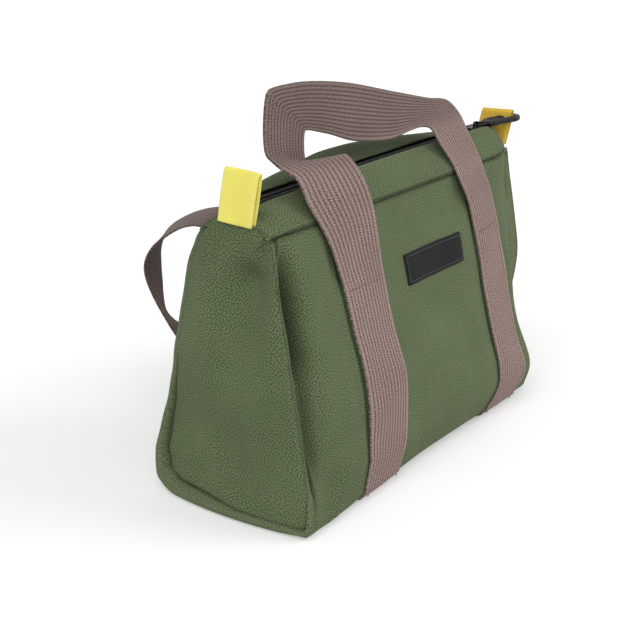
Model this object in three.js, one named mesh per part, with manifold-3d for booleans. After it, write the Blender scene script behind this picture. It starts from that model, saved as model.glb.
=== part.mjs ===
// A small zip-top canvas tool bag with webbing handles, a tab at each end of the zip and a label patch.
// Millimetres, +Z up. The front faces -Y and the origin lies on the floor under the middle of the base.

import * as THREE from 'three';
import { mergeVertices } from 'three/addons/utils/BufferGeometryUtils.js';
import Module from 'manifold-3d';

const wasm = await Module();
wasm.setup();

// Body
const BAG_LENGTH = 350;
const BASE_DEPTH = 130;
const SEAM_DEPTH = 66; // between the two seams that carry the lips
const SEAM_HEIGHT = 190;
const CORNER_RADIUS = 12; // where the front and back turn under the bag
const CANVAS = 1.2;
const BASE_SAG_MARGIN = 14; // from the webbing to the part of the base that sags onto the floor
const BASE_SAG_EDGE = 15; // from the long edge of the base to that part

// The right end is drawn in, as the bag stands in use
const PINCH_MARGIN = 4; // from the webbing to where the end starts to draw in
const PINCH_BASE = 25;
const PINCH_SEAM = 16;

// End panels, set in from the ends of the wrap
const GUSSET_INSET = 7;
const LEFT_BULGE = 10;
const RIGHT_BULGE = 4;
const GUSSET_PEAK = 6;

// Webbing
const WEBBING = 1.5;
const WEBBING_WIDTH = 42;
const LEG_SPACING = 170;
const STITCH_DROP = 48; // from the seams down to the stitch lines where the handles come free
const HINGE_GAP = 1.5; // free webbing between a stitch line and the stretch that swings

// Lips and zip
const LIP_RISE = 13; // from the seams up to the lips' free edges
const REAR_LIP_SWELL = 12; // how far the rear lip stands up out of its slope
const RIDGE_GAP = 15; // between the two lips' free edges
const RIDGE_DROP = 7; // how far the ridge falls at each end
const RIDGE_DROP_LENGTH = 15;
const LEFT_LIP_END = 30; // sewn-down stretch of the lips at the left end
const RIGHT_LIP_END = 53;
const TAPE = 0.7;
const TAPE_HEM = 6; // tape sewn under the lip
const TEETH_GAP = 2.4;
const TOOTH_REACH = 1.4;
const TOOTH_RAIL = 1;
const TOOTH_PITCH = 3;
const TOOTH_WIDTH = 1.6;
const TOOTH_TIP = 1.1;
const TOOTH_HEIGHT = 2.4;
const ZIP_STOP = 4;

// Slider and puller
const SLIDER_LENGTH = 16;
const SLIDER_LEAD_WIDTH = 11;
const SLIDER_TAIL_WIDTH = 10.2;
const SLIDER_PLATE = 1.2;
const SLIDER_ROUND = 2;
const NECK_WIDTH = 1.6;
const NECK_LENGTH = 5;
const BAIL_SPAN = 4.6;
const BAIL_RISE = 3;
const BAIL_THICKNESS = 1.2;
const BAIL_WIDTH = 1.6;
const PULLER_LENGTH = 38;
const PULLER_THICKNESS = 1.8;
const PULLER_GRIP = 2.6; // thickness of the moulded grip
const PULLER_ROOT_WIDTH = 8.8;
const PULLER_TIP_WIDTH = 11;
const PULLER_BAR = 1.6;
const PULLER_SLOT_WIDTH = 4.6;
const PULLER_SLOT_MARGIN = 4;
const PULLER_ROUND = 3;
const PULLER_YAW = THREE.MathUtils.degToRad(32);

// Tabs at the zip's ends
const TAB_WIDTH = 25;
const LEFT_TAB_HEIGHT = 33;
const RIGHT_TAB_HEIGHT = 20;
const TAB_GRIP = 8; // how far a tab reaches down over the end panel
const LEFT_TAB_SHIFT = -4;
const RIGHT_TAB_SHIFT = 2;

// Label patch
const LABEL_WIDTH = 78;
const LABEL_HEIGHT = 23;
const LABEL = 0.8;
const LABEL_ROUND = 2.5;
const LABEL_DROP = 52; // from the front seam down to the label's middle

// Handle loops
const FRONT_LOOP_LEFT = 118;
const FRONT_LOOP_RIGHT = 97;
const REAR_LOOP = 150;
const REAR_ROOT = 44; // webbing from the back's stitch line to the fold
const LOOP_TURN = 36;
const SEAM_STAND = 3; // between the front loop and the seam it rises past
const FRONT_STAND = 76; // how far the front loop's profile rises above the lips
const REAR_REACH = 87; // how far the rear loop's profile arches out from its stitch line
// Where the front profile passes, from the front lip's free edge, in shares of its stand
const FRONT_RISE = [
  { across: -0.237, up: 0.04 },
  { across: -0.026, up: 0.237 },
  { across: 0.099, up: 0.447 },
  { across: 0.164, up: 0.684 },
  { across: 0.204, up: 1 },
];
// Where the rear profile passes, from the stitch line, in shares of its reach
const REAR_ARCH = [
  { across: 0, up: 0 },
  { across: 0.172, up: 0.184 },
  { across: 0.402, up: 0.31 },
  { across: 0.69, up: 0.264 },
  { across: 0.92, up: 0.046 },
  { across: 0.98, up: -0.22 },
  { across: 0.87, up: -0.48 },
  { across: 0.67, up: -0.73 },
  { across: 0.52, up: -0.92 },
];

// Clearances
const SEWN_GAP = 0.3;
const SLIDE_GAP = 0.4;
const TAPE_GAP = 0.3;

// Faceting
const CORNER_STEPS = 6;
const LEG_STEPS = 9;
const TURN_STEPS = 6;
const RUN_STEPS = 6;
const ACROSS_STEPS = 4;
const CURVE_STEPS = 4;
const DROP_STEPS = 3;
const SWELL_STEPS = 8;

const HALF_LENGTH = BAG_LENGTH / 2;
const RIDGE_HEIGHT = SEAM_HEIGHT + LIP_RISE;
const BASE_HEIGHT = WEBBING + SEWN_GAP;
const GUSSET_X = HALF_LENGTH - GUSSET_INSET;
const LEG_X = LEG_SPACING / 2;
const LEG_INNER = LEG_X - WEBBING_WIDTH / 2;
const PINCH_START = LEG_X + WEBBING_WIDTH / 2 + PINCH_MARGIN;

function span(from, to, steps) {
  return Array.from({ length: steps + 1 }, (_, i) => from + ((to - from) * i) / steps);
}

const point = (x, y, z) => new THREE.Vector3(x, y, z);

// Materials
const finish = (color, roughness, metalness = 0) => ({ color, roughness, metalness });
const CANVAS_GREEN = finish(0x5a6c4b, 0.95);
const WEBBING_MAUVE = finish(0x8c7470, 0.9);
const TAB_YELLOW = finish(0xf5dc50, 0.85);
const TAB_AMBER = finish(0xe3a634, 0.85);
const TAPE_BLACK = finish(0x1b1c1e, 0.9);
const TEETH_BLACK = finish(0x141416, 0.45);
const METAL_BLACK = finish(0x101012, 0.3, 0.7);
const LABEL_BLACK = finish(0x1d1d1f, 0.8);

const bag = new THREE.Group();

function add(name, geometry, look) {
  const mesh = new THREE.Mesh(geometry, new THREE.MeshStandardMaterial(look));
  mesh.name = name;
  bag.add(mesh);
  return mesh;
}

// Geometry helpers

function facingOut(positions, triangles) {
  const corners = triangles.map((i) => new THREE.Vector3().fromArray(positions, 3 * i));
  let volume = 0;
  for (let i = 0; i < corners.length; i += 3) {
    volume += corners[i].dot(corners[i + 1].clone().cross(corners[i + 2]));
  }
  return volume < 0 ? triangles.toReversed() : triangles;
}

// A closed skin between two faces, each given as a function of u and v
function skin(face, back, us, vs) {
  const grid = (side) => us.flatMap((u) => vs.flatMap((v) => side(u, v).toArray()));
  const positions = [...grid(face), ...grid(back)];
  const at = (i, j, k) => (k * us.length + i) * vs.length + j;
  const triangles = [];
  const quad = (a, b, c, d) => triangles.push(a, b, c, a, c, d);
  const lastU = us.length - 1;
  const lastV = vs.length - 1;
  for (let i = 0; i < lastU; i += 1) {
    for (let j = 0; j < lastV; j += 1) {
      quad(at(i, j, 0), at(i + 1, j, 0), at(i + 1, j + 1, 0), at(i, j + 1, 0));
      quad(at(i, j, 1), at(i, j + 1, 1), at(i + 1, j + 1, 1), at(i + 1, j, 1));
    }
    quad(at(i, 0, 1), at(i + 1, 0, 1), at(i + 1, 0, 0), at(i, 0, 0));
    quad(at(i, lastV, 0), at(i + 1, lastV, 0), at(i + 1, lastV, 1), at(i, lastV, 1));
  }
  for (let j = 0; j < lastV; j += 1) {
    quad(at(0, j, 0), at(0, j + 1, 0), at(0, j + 1, 1), at(0, j, 1));
    quad(at(lastU, j, 1), at(lastU, j + 1, 1), at(lastU, j + 1, 0), at(lastU, j, 0));
  }
  const geometry = new THREE.BufferGeometry();
  geometry.setAttribute('position', new THREE.Float32BufferAttribute(positions, 3));
  geometry.setIndex(facingOut(positions, triangles));
  return geometry;
}

function extrude(shape, depth) {
  return new THREE.ExtrudeGeometry(shape, { depth, bevelEnabled: false, curveSegments: CURVE_STEPS });
}

// A shape drawn on Y and Z, extruded along X
function extrudeAlongX(shape, from, to) {
  const basis = new THREE.Matrix4().makeBasis(point(0, 1, 0), point(0, 0, 1), point(1, 0, 0));
  return extrude(shape, to - from).applyMatrix4(basis).translate(from, 0, 0);
}

// A shape drawn on X and Z, extruded along Y about the middle
function extrudeAcrossY(shape, width) {
  return extrude(shape, width).translate(0, 0, -width / 2).rotateX(Math.PI / 2);
}

// A shape drawn on X and Y, extruded along Z
function extrudeUp(shape, from, to) {
  return extrude(shape, to - from).translate(0, 0, from);
}

function solid(geometry) {
  const bare = geometry.clone().deleteAttribute('normal').deleteAttribute('uv');
  const merged = mergeVertices(bare);
  const vertProperties = new Float32Array(merged.attributes.position.array);
  const triVerts = new Uint32Array(merged.index.array);
  return new wasm.Manifold(new wasm.Mesh({ numProp: 3, vertProperties, triVerts }));
}

function geometryOf(body) {
  const { vertProperties, triVerts } = body.getMesh();
  const geometry = new THREE.BufferGeometry();
  geometry.setAttribute('position', new THREE.BufferAttribute(vertProperties, 3));
  geometry.setIndex(new THREE.BufferAttribute(triVerts, 1));
  return geometry;
}

const fuse = (geometries) => geometryOf(geometries.map(solid).reduce((all, next) => all.add(next)));

function roundedBar(halfStart, halfEnd, from, to, round) {
  const shape = new THREE.Shape();
  shape.moveTo(from + round, -halfStart);
  shape.lineTo(to - round, -halfEnd);
  shape.quadraticCurveTo(to, -halfEnd, to, -halfEnd + round);
  shape.lineTo(to, halfEnd - round);
  shape.quadraticCurveTo(to, halfEnd, to - round, halfEnd);
  shape.lineTo(from + round, halfStart);
  shape.quadraticCurveTo(from, halfStart, from, halfStart - round);
  shape.lineTo(from, -halfStart + round);
  shape.quadraticCurveTo(from, -halfStart, from + round, -halfStart);
  return shape;
}

// The wrap: front, base and back. At each x its side is a corner arc and a straight wall tangent to it.

const pinch = (x) => THREE.MathUtils.smoothstep(x, PINCH_START, HALF_LENGTH);
const baseHalf = (x) => BASE_DEPTH / 2 - PINCH_BASE * pinch(x);
const seamHalf = (x) => SEAM_DEPTH / 2 - PINCH_SEAM * pinch(x);
const cornerY = (x) => baseHalf(x) - CORNER_RADIUS;
const CORNER_Z = BASE_HEIGHT + CORNER_RADIUS;

function wallLine(x) {
  const reach = Math.hypot(seamHalf(x) - cornerY(x), SEAM_HEIGHT - CORNER_Z);
  const slope = Math.atan2(SEAM_HEIGHT - CORNER_Z, seamHalf(x) - cornerY(x));
  const lean = slope - Math.acos(CORNER_RADIUS / reach);
  const length = Math.sqrt(reach ** 2 - CORNER_RADIUS ** 2);
  return { lean, length };
}

// Runs round the corner for s from 0 to 1, and up the wall for s from 1 to 2
function wrapPoint(side, x, s, out) {
  const { lean, length } = wallLine(x);
  const turn = Math.min(s, 1) * (Math.PI / 2 + lean);
  const up = Math.max(s - 1, 0) * length;
  const y = cornerY(x) + (CORNER_RADIUS + out) * Math.sin(turn) - up * Math.sin(lean);
  const z = CORNER_Z - (CORNER_RADIUS + out) * Math.cos(turn) + up * Math.cos(lean);
  return point(x, side * y, z);
}

const WALL = wallLine(0);
const WALL_FOOT = CORNER_Z + CORNER_RADIUS * Math.sin(WALL.lean);
const wallStation = (height) => 1 + (height - WALL_FOOT) / (WALL.length * Math.cos(WALL.lean));
const CORNER_STATIONS = span(0, 1, CORNER_STEPS);
const PINCH_STATIONS = span(PINCH_START, HALF_LENGTH, CORNER_STEPS);
const PANEL_TOP = wallStation(SEAM_HEIGHT - CANVAS - SEWN_GAP);
const BODY_STATIONS = [-HALF_LENGTH, ...PINCH_STATIONS];

function panel(side) {
  const face = (x, s) => wrapPoint(side, x, s, 0);
  const back = (x, s) => wrapPoint(side, x, s, -CANVAS);
  return skin(face, back, BODY_STATIONS, [...CORNER_STATIONS, (1 + PANEL_TOP) / 2, PANEL_TOP]);
}

function basePanel() {
  const sagX = LEG_INNER - BASE_SAG_MARGIN;
  const flatX = LEG_INNER - SEWN_GAP;
  const edge = (x) => cornerY(x) - SEWN_GAP;
  const rows = [
    { side: -1, inset: 0 },
    { side: -1, inset: BASE_SAG_EDGE },
    { side: 1, inset: BASE_SAG_EDGE },
    { side: 1, inset: 0 },
  ];
  const sags = (x, inset) => Math.abs(x) <= sagX && inset > 0;
  const low = (x, { side, inset }) => point(x, side * (edge(x) - inset), sags(x, inset) ? 0 : BASE_HEIGHT);
  const high = (x, row) => low(x, row).add(point(0, 0, CANVAS));
  return skin(low, high, [-HALF_LENGTH, -flatX, -sagX, sagX, flatX, ...PINCH_STATIONS], rows);
}

// Where an end panel's bulge ends, under the tab that grips its top edge
const BULGE_TOP = wallStation(SEAM_HEIGHT - CANVAS - SEWN_GAP - TAB_GRIP);

// An end panel, inside the wrap, with its top edge rising to a low peak under the zip
function gusset(end, fullness) {
  const inside = -(CANVAS + SEWN_GAP);
  const edge = (s) => wrapPoint(1, end * GUSSET_X, s, inside);
  const rows = [...CORNER_STATIONS, ...span(1, BULGE_TOP, ACROSS_STEPS).slice(1), PANEL_TOP];
  const at = (u, s, depth) => {
    const { y, z } = edge(s);
    const bulge = fullness * (1 - u ** 4) * Math.sin(Math.PI * Math.min(s / BULGE_TOP, 1));
    const peak = GUSSET_PEAK * (1 - Math.abs(u)) * Math.max(s - 1, 0) ** 2;
    return point(end * (GUSSET_X + bulge - depth), u * y, z + peak);
  };
  const face = (u, s) => at(u, s, 0);
  const back = (u, s) => at(u, s, CANVAS);
  return skin(face, back, span(-1, 1, 2 * ACROSS_STEPS), rows);
}

add('front_panel', panel(-1), CANVAS_GREEN);
add('back_panel', panel(1), CANVAS_GREEN);
add('base_panel', basePanel(), CANVAS_GREEN);
add('left_gusset', gusset(-1, LEFT_BULGE), CANVAS_GREEN);
add('right_gusset', gusset(1, RIGHT_BULGE), CANVAS_GREEN);

// Sewn webbing: up the front and back, and under the base

const STITCH = wallStation(SEAM_HEIGHT - STITCH_DROP);

function wallWebbing(side, x) {
  const face = (u, s) => wrapPoint(side, u, s, SEWN_GAP + WEBBING);
  const back = (u, s) => wrapPoint(side, u, s, SEWN_GAP);
  const stations = [...CORNER_STATIONS, STITCH];
  return skin(face, back, [x - WEBBING_WIDTH / 2, x + WEBBING_WIDTH / 2], stations);
}

function baseWebbing(x) {
  const reach = cornerY(x) - SEWN_GAP;
  const low = (u, v) => point(u, v, 0);
  const high = (u, v) => point(u, v, WEBBING);
  return skin(low, high, [x - WEBBING_WIDTH / 2, x + WEBBING_WIDTH / 2], [-reach, reach]);
}

for (const [hand, x] of [['left', -LEG_X], ['right', LEG_X]]) {
  add(`front_${hand}_webbing`, wallWebbing(-1, x), WEBBING_MAUVE);
  add(`back_${hand}_webbing`, wallWebbing(1, x), WEBBING_MAUVE);
  add(`base_${hand}_webbing`, baseWebbing(x), WEBBING_MAUVE);
}

// Label patch, sewn on the front wall between the two stretches of webbing

const labelHalf = LABEL_HEIGHT / 2;
const labelShape = roundedBar(labelHalf, labelHalf, -LABEL_WIDTH / 2, LABEL_WIDTH / 2, LABEL_ROUND);
const label = add('label_patch', extrudeUp(labelShape, 0, LABEL), LABEL_BLACK);
label.position.copy(wrapPoint(-1, 0, wallStation(SEAM_HEIGHT - LABEL_DROP), SEWN_GAP));
label.rotation.x = Math.PI / 2 - WALL.lean;

// Lips: canvas from each seam up to the zip. The long middle stretch opens and the ends are sewn down.

const LIP_LEFT = -GUSSET_X + LEFT_LIP_END;
const LIP_RIGHT = GUSSET_X - RIGHT_LIP_END;
const TAB_SLOT = CANVAS / 2 + SEWN_GAP;
const TAB_OUT = TAB_SLOT + WEBBING;
const TAB_X = GUSSET_X - CANVAS / 2;
const LIP_END_X = TAB_X - TAB_OUT - SEWN_GAP;
const DROP_X = LIP_END_X - RIDGE_DROP_LENGTH;
const ridgeFall = (x) => RIDGE_DROP * THREE.MathUtils.smoothstep(Math.abs(x), DROP_X, LIP_END_X);
const ridgeHeight = (x) => RIDGE_HEIGHT - ridgeFall(x);

// A point on a lip's outer face, with v from 0 at the seam to 1 at the free edge
function lipPoint(side, x, v, down) {
  const seam = new THREE.Vector2(seamHalf(x), SEAM_HEIGHT);
  const ridge = new THREE.Vector2(RIDGE_GAP / 2, ridgeHeight(x));
  const along = ridge.clone().sub(seam);
  const normal = new THREE.Vector2(along.y, -along.x).normalize();
  const place = seam.addScaledVector(along, v).addScaledVector(normal, -down);
  return point(x, side * place.x, place.y);
}

function lip(side, stations) {
  const face = (x, v) => lipPoint(side, x, v, 0);
  const back = (x, v) => lipPoint(side, x, v, CANVAS);
  return skin(face, back, stations, [0, 1]);
}

// The stretch of the rear lip that opens stands up in a soft ridge, highest over the middle of the bag
function rearLip() {
  const along = (x) => Math.sin((Math.PI * (x - LIP_LEFT)) / (LIP_RIGHT - LIP_LEFT));
  const swell = (x, v) => REAR_LIP_SWELL * Math.sqrt(Math.max(along(x), 0)) * Math.sin(Math.PI * v);
  const face = (x, v) => lipPoint(1, x, v, -swell(x, v));
  const back = (x, v) => lipPoint(1, x, v, CANVAS - swell(x, v));
  return skin(face, back, span(LIP_LEFT, LIP_RIGHT, SWELL_STEPS), span(0, 1, ACROSS_STEPS));
}

const LEFT_END = LIP_LEFT - SEWN_GAP;
const RIGHT_END = LIP_RIGHT + SEWN_GAP;
const DROP_STATIONS = span(DROP_X, LIP_END_X, DROP_STEPS);
const LEFT_END_STATIONS = [...DROP_STATIONS.map((x) => -x).toReversed(), LEFT_END];
const RIGHT_END_STATIONS = [...span(RIGHT_END, DROP_X, CURVE_STEPS).slice(0, -1), ...DROP_STATIONS];

add('front_lip', lip(-1, [LIP_LEFT, LIP_RIGHT]), CANVAS_GREEN);
add('rear_lip', rearLip(), CANVAS_GREEN);
for (const [name, side] of [['front', -1], ['rear', 1]]) {
  add(`${name}_lip_left_end`, lip(side, LEFT_END_STATIONS), CANVAS_GREEN);
  add(`${name}_lip_right_end`, lip(side, RIGHT_END_STATIONS), CANVAS_GREEN);
}

// Zip: tapes under the lips' free edges, a row of moulded teeth on each, and a stop at each end

const TEETH_INNER = TEETH_GAP / 2;
const TEETH_OUTER = TEETH_INNER + TOOTH_REACH + TOOTH_RAIL;
const lipEdge = lipPoint(1, 0, 1, CANVAS + TAPE_GAP);
const ZIP_Z = lipEdge.z - TAPE / 2;

// The hem lies along the lip where the lip is steepest, at the stretch's right end
function tape(side, inner, from, to) {
  const lipSlope = lipPoint(1, to, 0, 0).sub(lipPoint(1, to, 1, 0)).normalize();
  const hem = lipEdge.clone().addScaledVector(lipSlope, TAPE_HEM);
  const section = new THREE.Shape();
  section.moveTo(side * inner, lipEdge.z);
  section.lineTo(side * lipEdge.y, lipEdge.z);
  section.lineTo(side * hem.y, hem.z);
  section.lineTo(side * hem.y, hem.z - TAPE);
  section.lineTo(side * lipEdge.y, lipEdge.z - TAPE);
  section.lineTo(side * inner, lipEdge.z - TAPE);
  return extrudeAlongX(section, from, to);
}

function teeth(side, from, to) {
  const outer = side * TEETH_OUTER;
  const root = side * (TEETH_INNER + TOOTH_REACH);
  const tip = side * TEETH_INNER;
  const count = Math.floor((to - from) / TOOTH_PITCH);
  const start = (from + to - (count - 1) * TOOTH_PITCH) / 2;
  const comb = new THREE.Shape();
  comb.moveTo(from, outer);
  comb.lineTo(from, root);
  for (let i = 0; i < count; i += 1) {
    const x = start + i * TOOTH_PITCH;
    comb.lineTo(x - TOOTH_WIDTH / 2, root);
    comb.lineTo(x - TOOTH_TIP / 2, tip);
    comb.lineTo(x + TOOTH_TIP / 2, tip);
    comb.lineTo(x + TOOTH_WIDTH / 2, root);
  }
  comb.lineTo(to, root);
  comb.lineTo(to, outer);
  return extrudeUp(comb, ZIP_Z - TOOTH_HEIGHT / 2, ZIP_Z + TOOTH_HEIGHT / 2);
}

// The sewn-down ends of the zip: both tapes with their teeth, joined by the stop
function zipEnd(from, to, stopFrom) {
  const stop = roundedBar(TEETH_OUTER, TEETH_OUTER, stopFrom, stopFrom + ZIP_STOP, TOOTH_RAIL);
  const sides = [-1, 1].flatMap((side) => [
    tape(side, TEETH_OUTER - TOOTH_RAIL / 2, from, to),
    teeth(side, from, to),
  ]);
  return fuse([...sides, extrudeUp(stop, ZIP_Z - TOOTH_HEIGHT / 2, ZIP_Z + TOOTH_HEIGHT / 2)]);
}

for (const [name, side] of [['front', -1], ['rear', 1]]) {
  add(`${name}_zip_tape`, tape(side, TEETH_OUTER + TAPE_GAP, LIP_LEFT, LIP_RIGHT), TAPE_BLACK);
  add(`${name}_zip_teeth`, teeth(side, LIP_LEFT, LIP_RIGHT), TEETH_BLACK);
}
add('left_zip_end', zipEnd(-DROP_X, LEFT_END, -DROP_X), TAPE_BLACK);
add('right_zip_end', zipEnd(RIGHT_END, DROP_X, DROP_X - ZIP_STOP), TAPE_BLACK);

// Slider: two flanged plates that straddle the teeth, a neck between the rows and a bail for the puller

const SLIDER_X = DROP_X - ZIP_STOP - SLIDER_LENGTH / 2 - SLIDE_GAP;
const CHANNEL_HALF = TEETH_OUTER + SLIDE_GAP;
const CHANNEL_TOP = TOOTH_HEIGHT / 2 + SLIDE_GAP;
const SLOT_TOP = TAPE / 2 + SLIDE_GAP;
const PLATE_TOP = CHANNEL_TOP + SLIDER_PLATE;

function sliderPlates() {
  const half = SLIDER_LEAD_WIDTH / 2;
  const plates = [-1, 1].map((side) => {
    const section = new THREE.Shape();
    section.moveTo(-half, side * SLOT_TOP);
    section.lineTo(-CHANNEL_HALF, side * SLOT_TOP);
    section.lineTo(-CHANNEL_HALF, side * CHANNEL_TOP);
    section.lineTo(CHANNEL_HALF, side * CHANNEL_TOP);
    section.lineTo(CHANNEL_HALF, side * SLOT_TOP);
    section.lineTo(half, side * SLOT_TOP);
    section.lineTo(half, side * PLATE_TOP);
    section.lineTo(-half, side * PLATE_TOP);
    return solid(extrudeAlongX(section, -SLIDER_LENGTH / 2, SLIDER_LENGTH / 2));
  });
  const plan = roundedBar(half, SLIDER_TAIL_WIDTH / 2, -SLIDER_LENGTH / 2, SLIDER_LENGTH / 2, SLIDER_ROUND);
  return plates[0].add(plates[1]).intersect(solid(extrudeUp(plan, -2 * PLATE_TOP, 2 * PLATE_TOP)));
}

function neck() {
  const middle = -SLIDER_LENGTH / 2 + NECK_LENGTH / 2 + SLIDE_GAP;
  const rhombus = new THREE.Shape();
  rhombus.moveTo(middle - NECK_LENGTH / 2, 0);
  rhombus.lineTo(middle, -NECK_WIDTH / 2);
  rhombus.lineTo(middle + NECK_LENGTH / 2, 0);
  rhombus.lineTo(middle, NECK_WIDTH / 2);
  return solid(extrudeUp(rhombus, -PLATE_TOP, PLATE_TOP));
}

function bail() {
  const foot = CHANNEL_TOP + SLIDER_PLATE / 2;
  const inner = BAIL_SPAN / 2;
  const outer = inner + BAIL_THICKNESS;
  const crown = PLATE_TOP + BAIL_RISE;
  const shoulder = crown - BAIL_THICKNESS;
  const arch = new THREE.Shape();
  arch.moveTo(-outer, foot);
  arch.lineTo(-outer, shoulder);
  arch.quadraticCurveTo(-outer, crown + BAIL_THICKNESS, -inner + BAIL_THICKNESS, crown + BAIL_THICKNESS);
  arch.lineTo(inner - BAIL_THICKNESS, crown + BAIL_THICKNESS);
  arch.quadraticCurveTo(outer, crown + BAIL_THICKNESS, outer, shoulder);
  arch.lineTo(outer, foot);
  arch.lineTo(inner, foot);
  arch.lineTo(inner, crown);
  arch.lineTo(-inner, crown);
  arch.lineTo(-inner, foot);
  return solid(extrudeAcrossY(arch, BAIL_WIDTH));
}

const slider = add('zip_slider', geometryOf(sliderPlates().add(neck()).add(bail())), METAL_BLACK);
slider.position.set(SLIDER_X, 0, ZIP_Z);

// Puller: a plate whose root bar passes under the slider's bail, with a slotted grip moulded on it

const EYE_END = PULLER_BAR / 2 + BAIL_SPAN / 2 + BAIL_THICKNESS + BAIL_WIDTH / 2;
const SLOT_START = EYE_END + PULLER_BAR + PULLER_SLOT_MARGIN;

function pullerPlate() {
  const half = PULLER_ROOT_WIDTH / 2;
  const eyeHalf = half - PULLER_BAR;
  const shape = roundedBar(half, half, -PULLER_BAR / 2, SLOT_START, PULLER_BAR / 2);
  shape.holes.push(roundedBar(eyeHalf, eyeHalf, PULLER_BAR / 2, EYE_END, PULLER_BAR / 2));
  return extrudeUp(shape, -PULLER_THICKNESS / 2, PULLER_THICKNESS / 2);
}

function pullerGrip() {
  const shape = roundedBar(
    PULLER_ROOT_WIDTH / 2, PULLER_TIP_WIDTH / 2, EYE_END + PULLER_BAR, PULLER_LENGTH, PULLER_ROUND);
  const half = PULLER_SLOT_WIDTH / 2;
  shape.holes.push(roundedBar(half, half, SLOT_START, PULLER_LENGTH - PULLER_SLOT_MARGIN, half));
  return extrudeUp(shape, -PULLER_GRIP / 2, PULLER_GRIP / 2);
}

const puller = add('zip_puller', fuse([pullerPlate(), pullerGrip()]), METAL_BLACK);
puller.position.set(SLIDER_X, 0, ZIP_Z + PLATE_TOP + BAIL_RISE / 2);
puller.rotation.z = -PULLER_YAW;

// Tabs: webbing folded over the top edge of each end panel

function tabShape(height) {
  const foot = -TAB_GRIP;
  const fold = height - TAB_OUT;
  const shape = new THREE.Shape();
  shape.moveTo(-TAB_OUT, foot);
  shape.lineTo(-TAB_OUT, fold);
  shape.absarc(0, fold, TAB_OUT, Math.PI, 0, true);
  shape.lineTo(TAB_OUT, foot);
  shape.lineTo(TAB_SLOT, foot);
  shape.lineTo(TAB_SLOT, fold);
  shape.absarc(0, fold, TAB_SLOT, 0, Math.PI, false);
  shape.lineTo(-TAB_SLOT, foot);
  return shape;
}

const GUSSET_TOP = SEAM_HEIGHT - CANVAS - SEWN_GAP + GUSSET_PEAK;
const leftTab = add('left_tab', extrudeAcrossY(tabShape(LEFT_TAB_HEIGHT), TAB_WIDTH), TAB_YELLOW);
leftTab.position.set(-TAB_X, LEFT_TAB_SHIFT, GUSSET_TOP);
const rightTab = add('right_tab', extrudeAcrossY(tabShape(RIGHT_TAB_HEIGHT), TAB_WIDTH), TAB_AMBER);
rightTab.position.set(TAB_X, RIGHT_TAB_SHIFT, GUSSET_TOP);

// Handle loops: webbing cut as a flat U and laid over a profile that rises from the stitch line

function profileOf(points) {
  const curve = new THREE.CatmullRomCurve3(points, false, 'centripetal');
  const length = curve.getLength();
  const normalAt = (u) => {
    const along = curve.getTangentAt(u);
    return point(0, -along.z, along.y);
  };
  return (x, s, out) => {
    const u = THREE.MathUtils.clamp(s / length, 0, 1);
    return curve.getPointAt(u).addScaledVector(normalAt(u), out).setX(x);
  };
}

// The middle line of a U, as places and sideways directions, from the left leg's foot to the right one's
function loopRoute(foot, left, right) {
  const fall = (right - left) / LEG_SPACING;
  const run = LEG_X - LOOP_TURN;
  const path = new THREE.Path();
  path.moveTo(-LEG_X, foot);
  path.lineTo(-LEG_X, left - LOOP_TURN);
  path.quadraticCurveTo(-LEG_X, left, -run, left + fall * LOOP_TURN);
  path.lineTo(run, right - fall * LOOP_TURN);
  path.quadraticCurveTo(LEG_X, right, LEG_X, right - LOOP_TURN);
  path.lineTo(LEG_X, foot);
  const steps = [LEG_STEPS, TURN_STEPS, RUN_STEPS, TURN_STEPS, LEG_STEPS];
  return path.curves.flatMap((curve, i) => span(0, 1, steps[i]).slice(i ? 1 : 0).map((t) => {
    const along = curve.getTangent(t);
    return { place: curve.getPoint(t), sideways: new THREE.Vector2(-along.y, along.x) };
  }));
}

function loop(profile, route) {
  const at = (i, v, out) => {
    const { x, y } = route[i].place.clone().addScaledVector(route[i].sideways, (v * WEBBING_WIDTH) / 2);
    return profile(x, y, out);
  };
  const face = (i, v) => at(i, v, WEBBING / 2);
  const back = (i, v) => at(i, v, -WEBBING / 2);
  return skin(face, back, [...route.keys()], span(-1, 1, ACROSS_STEPS));
}

const stitchFront = wrapPoint(-1, 0, STITCH, SEWN_GAP + WEBBING / 2);
const stitchBack = wrapPoint(1, 0, STITCH, SEWN_GAP + WEBBING / 2);

// The front loop rises over the lip and stands above the zip
const frontProfile = profileOf([
  stitchFront,
  point(0, -SEAM_DEPTH / 2 - SEAM_STAND, SEAM_HEIGHT),
  ...FRONT_RISE.map(({ across, up }) => {
    return point(0, FRONT_STAND * across - RIDGE_GAP / 2, RIDGE_HEIGHT + FRONT_STAND * up);
  }),
]);

// The rear loop leaves the back, arches over and hangs behind the bag
const rearProfile = profileOf(REAR_ARCH.map(({ across, up }) => {
  return point(0, stitchBack.y + REAR_REACH * across, stitchBack.z + REAR_REACH * up);
}));

function handleRoot(x) {
  const stations = span(HINGE_GAP, REAR_ROOT, CORNER_STEPS);
  const face = (s, v) => rearProfile(x + (v * WEBBING_WIDTH) / 2, s, WEBBING / 2);
  const back = (s, v) => rearProfile(x + (v * WEBBING_WIDTH) / 2, s, -WEBBING / 2);
  return skin(face, back, stations, [-1, 1]);
}

const frontRoute = loopRoute(HINGE_GAP, FRONT_LOOP_LEFT, FRONT_LOOP_RIGHT);
const rearRoute = loopRoute(REAR_ROOT + HINGE_GAP, REAR_LOOP, REAR_LOOP);
add('front_handle', loop(frontProfile, frontRoute), WEBBING_MAUVE);
add('rear_handle_left_root', handleRoot(-LEG_X), WEBBING_MAUVE);
add('rear_handle_right_root', handleRoot(LEG_X), WEBBING_MAUVE);
add('rear_handle', loop(rearProfile, rearRoute), WEBBING_MAUVE);

export default bag;
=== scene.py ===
"""Looks for a small zip-top canvas tool bag. Sizes in the shape code are millimetres in the shared frame."""

import math

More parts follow.
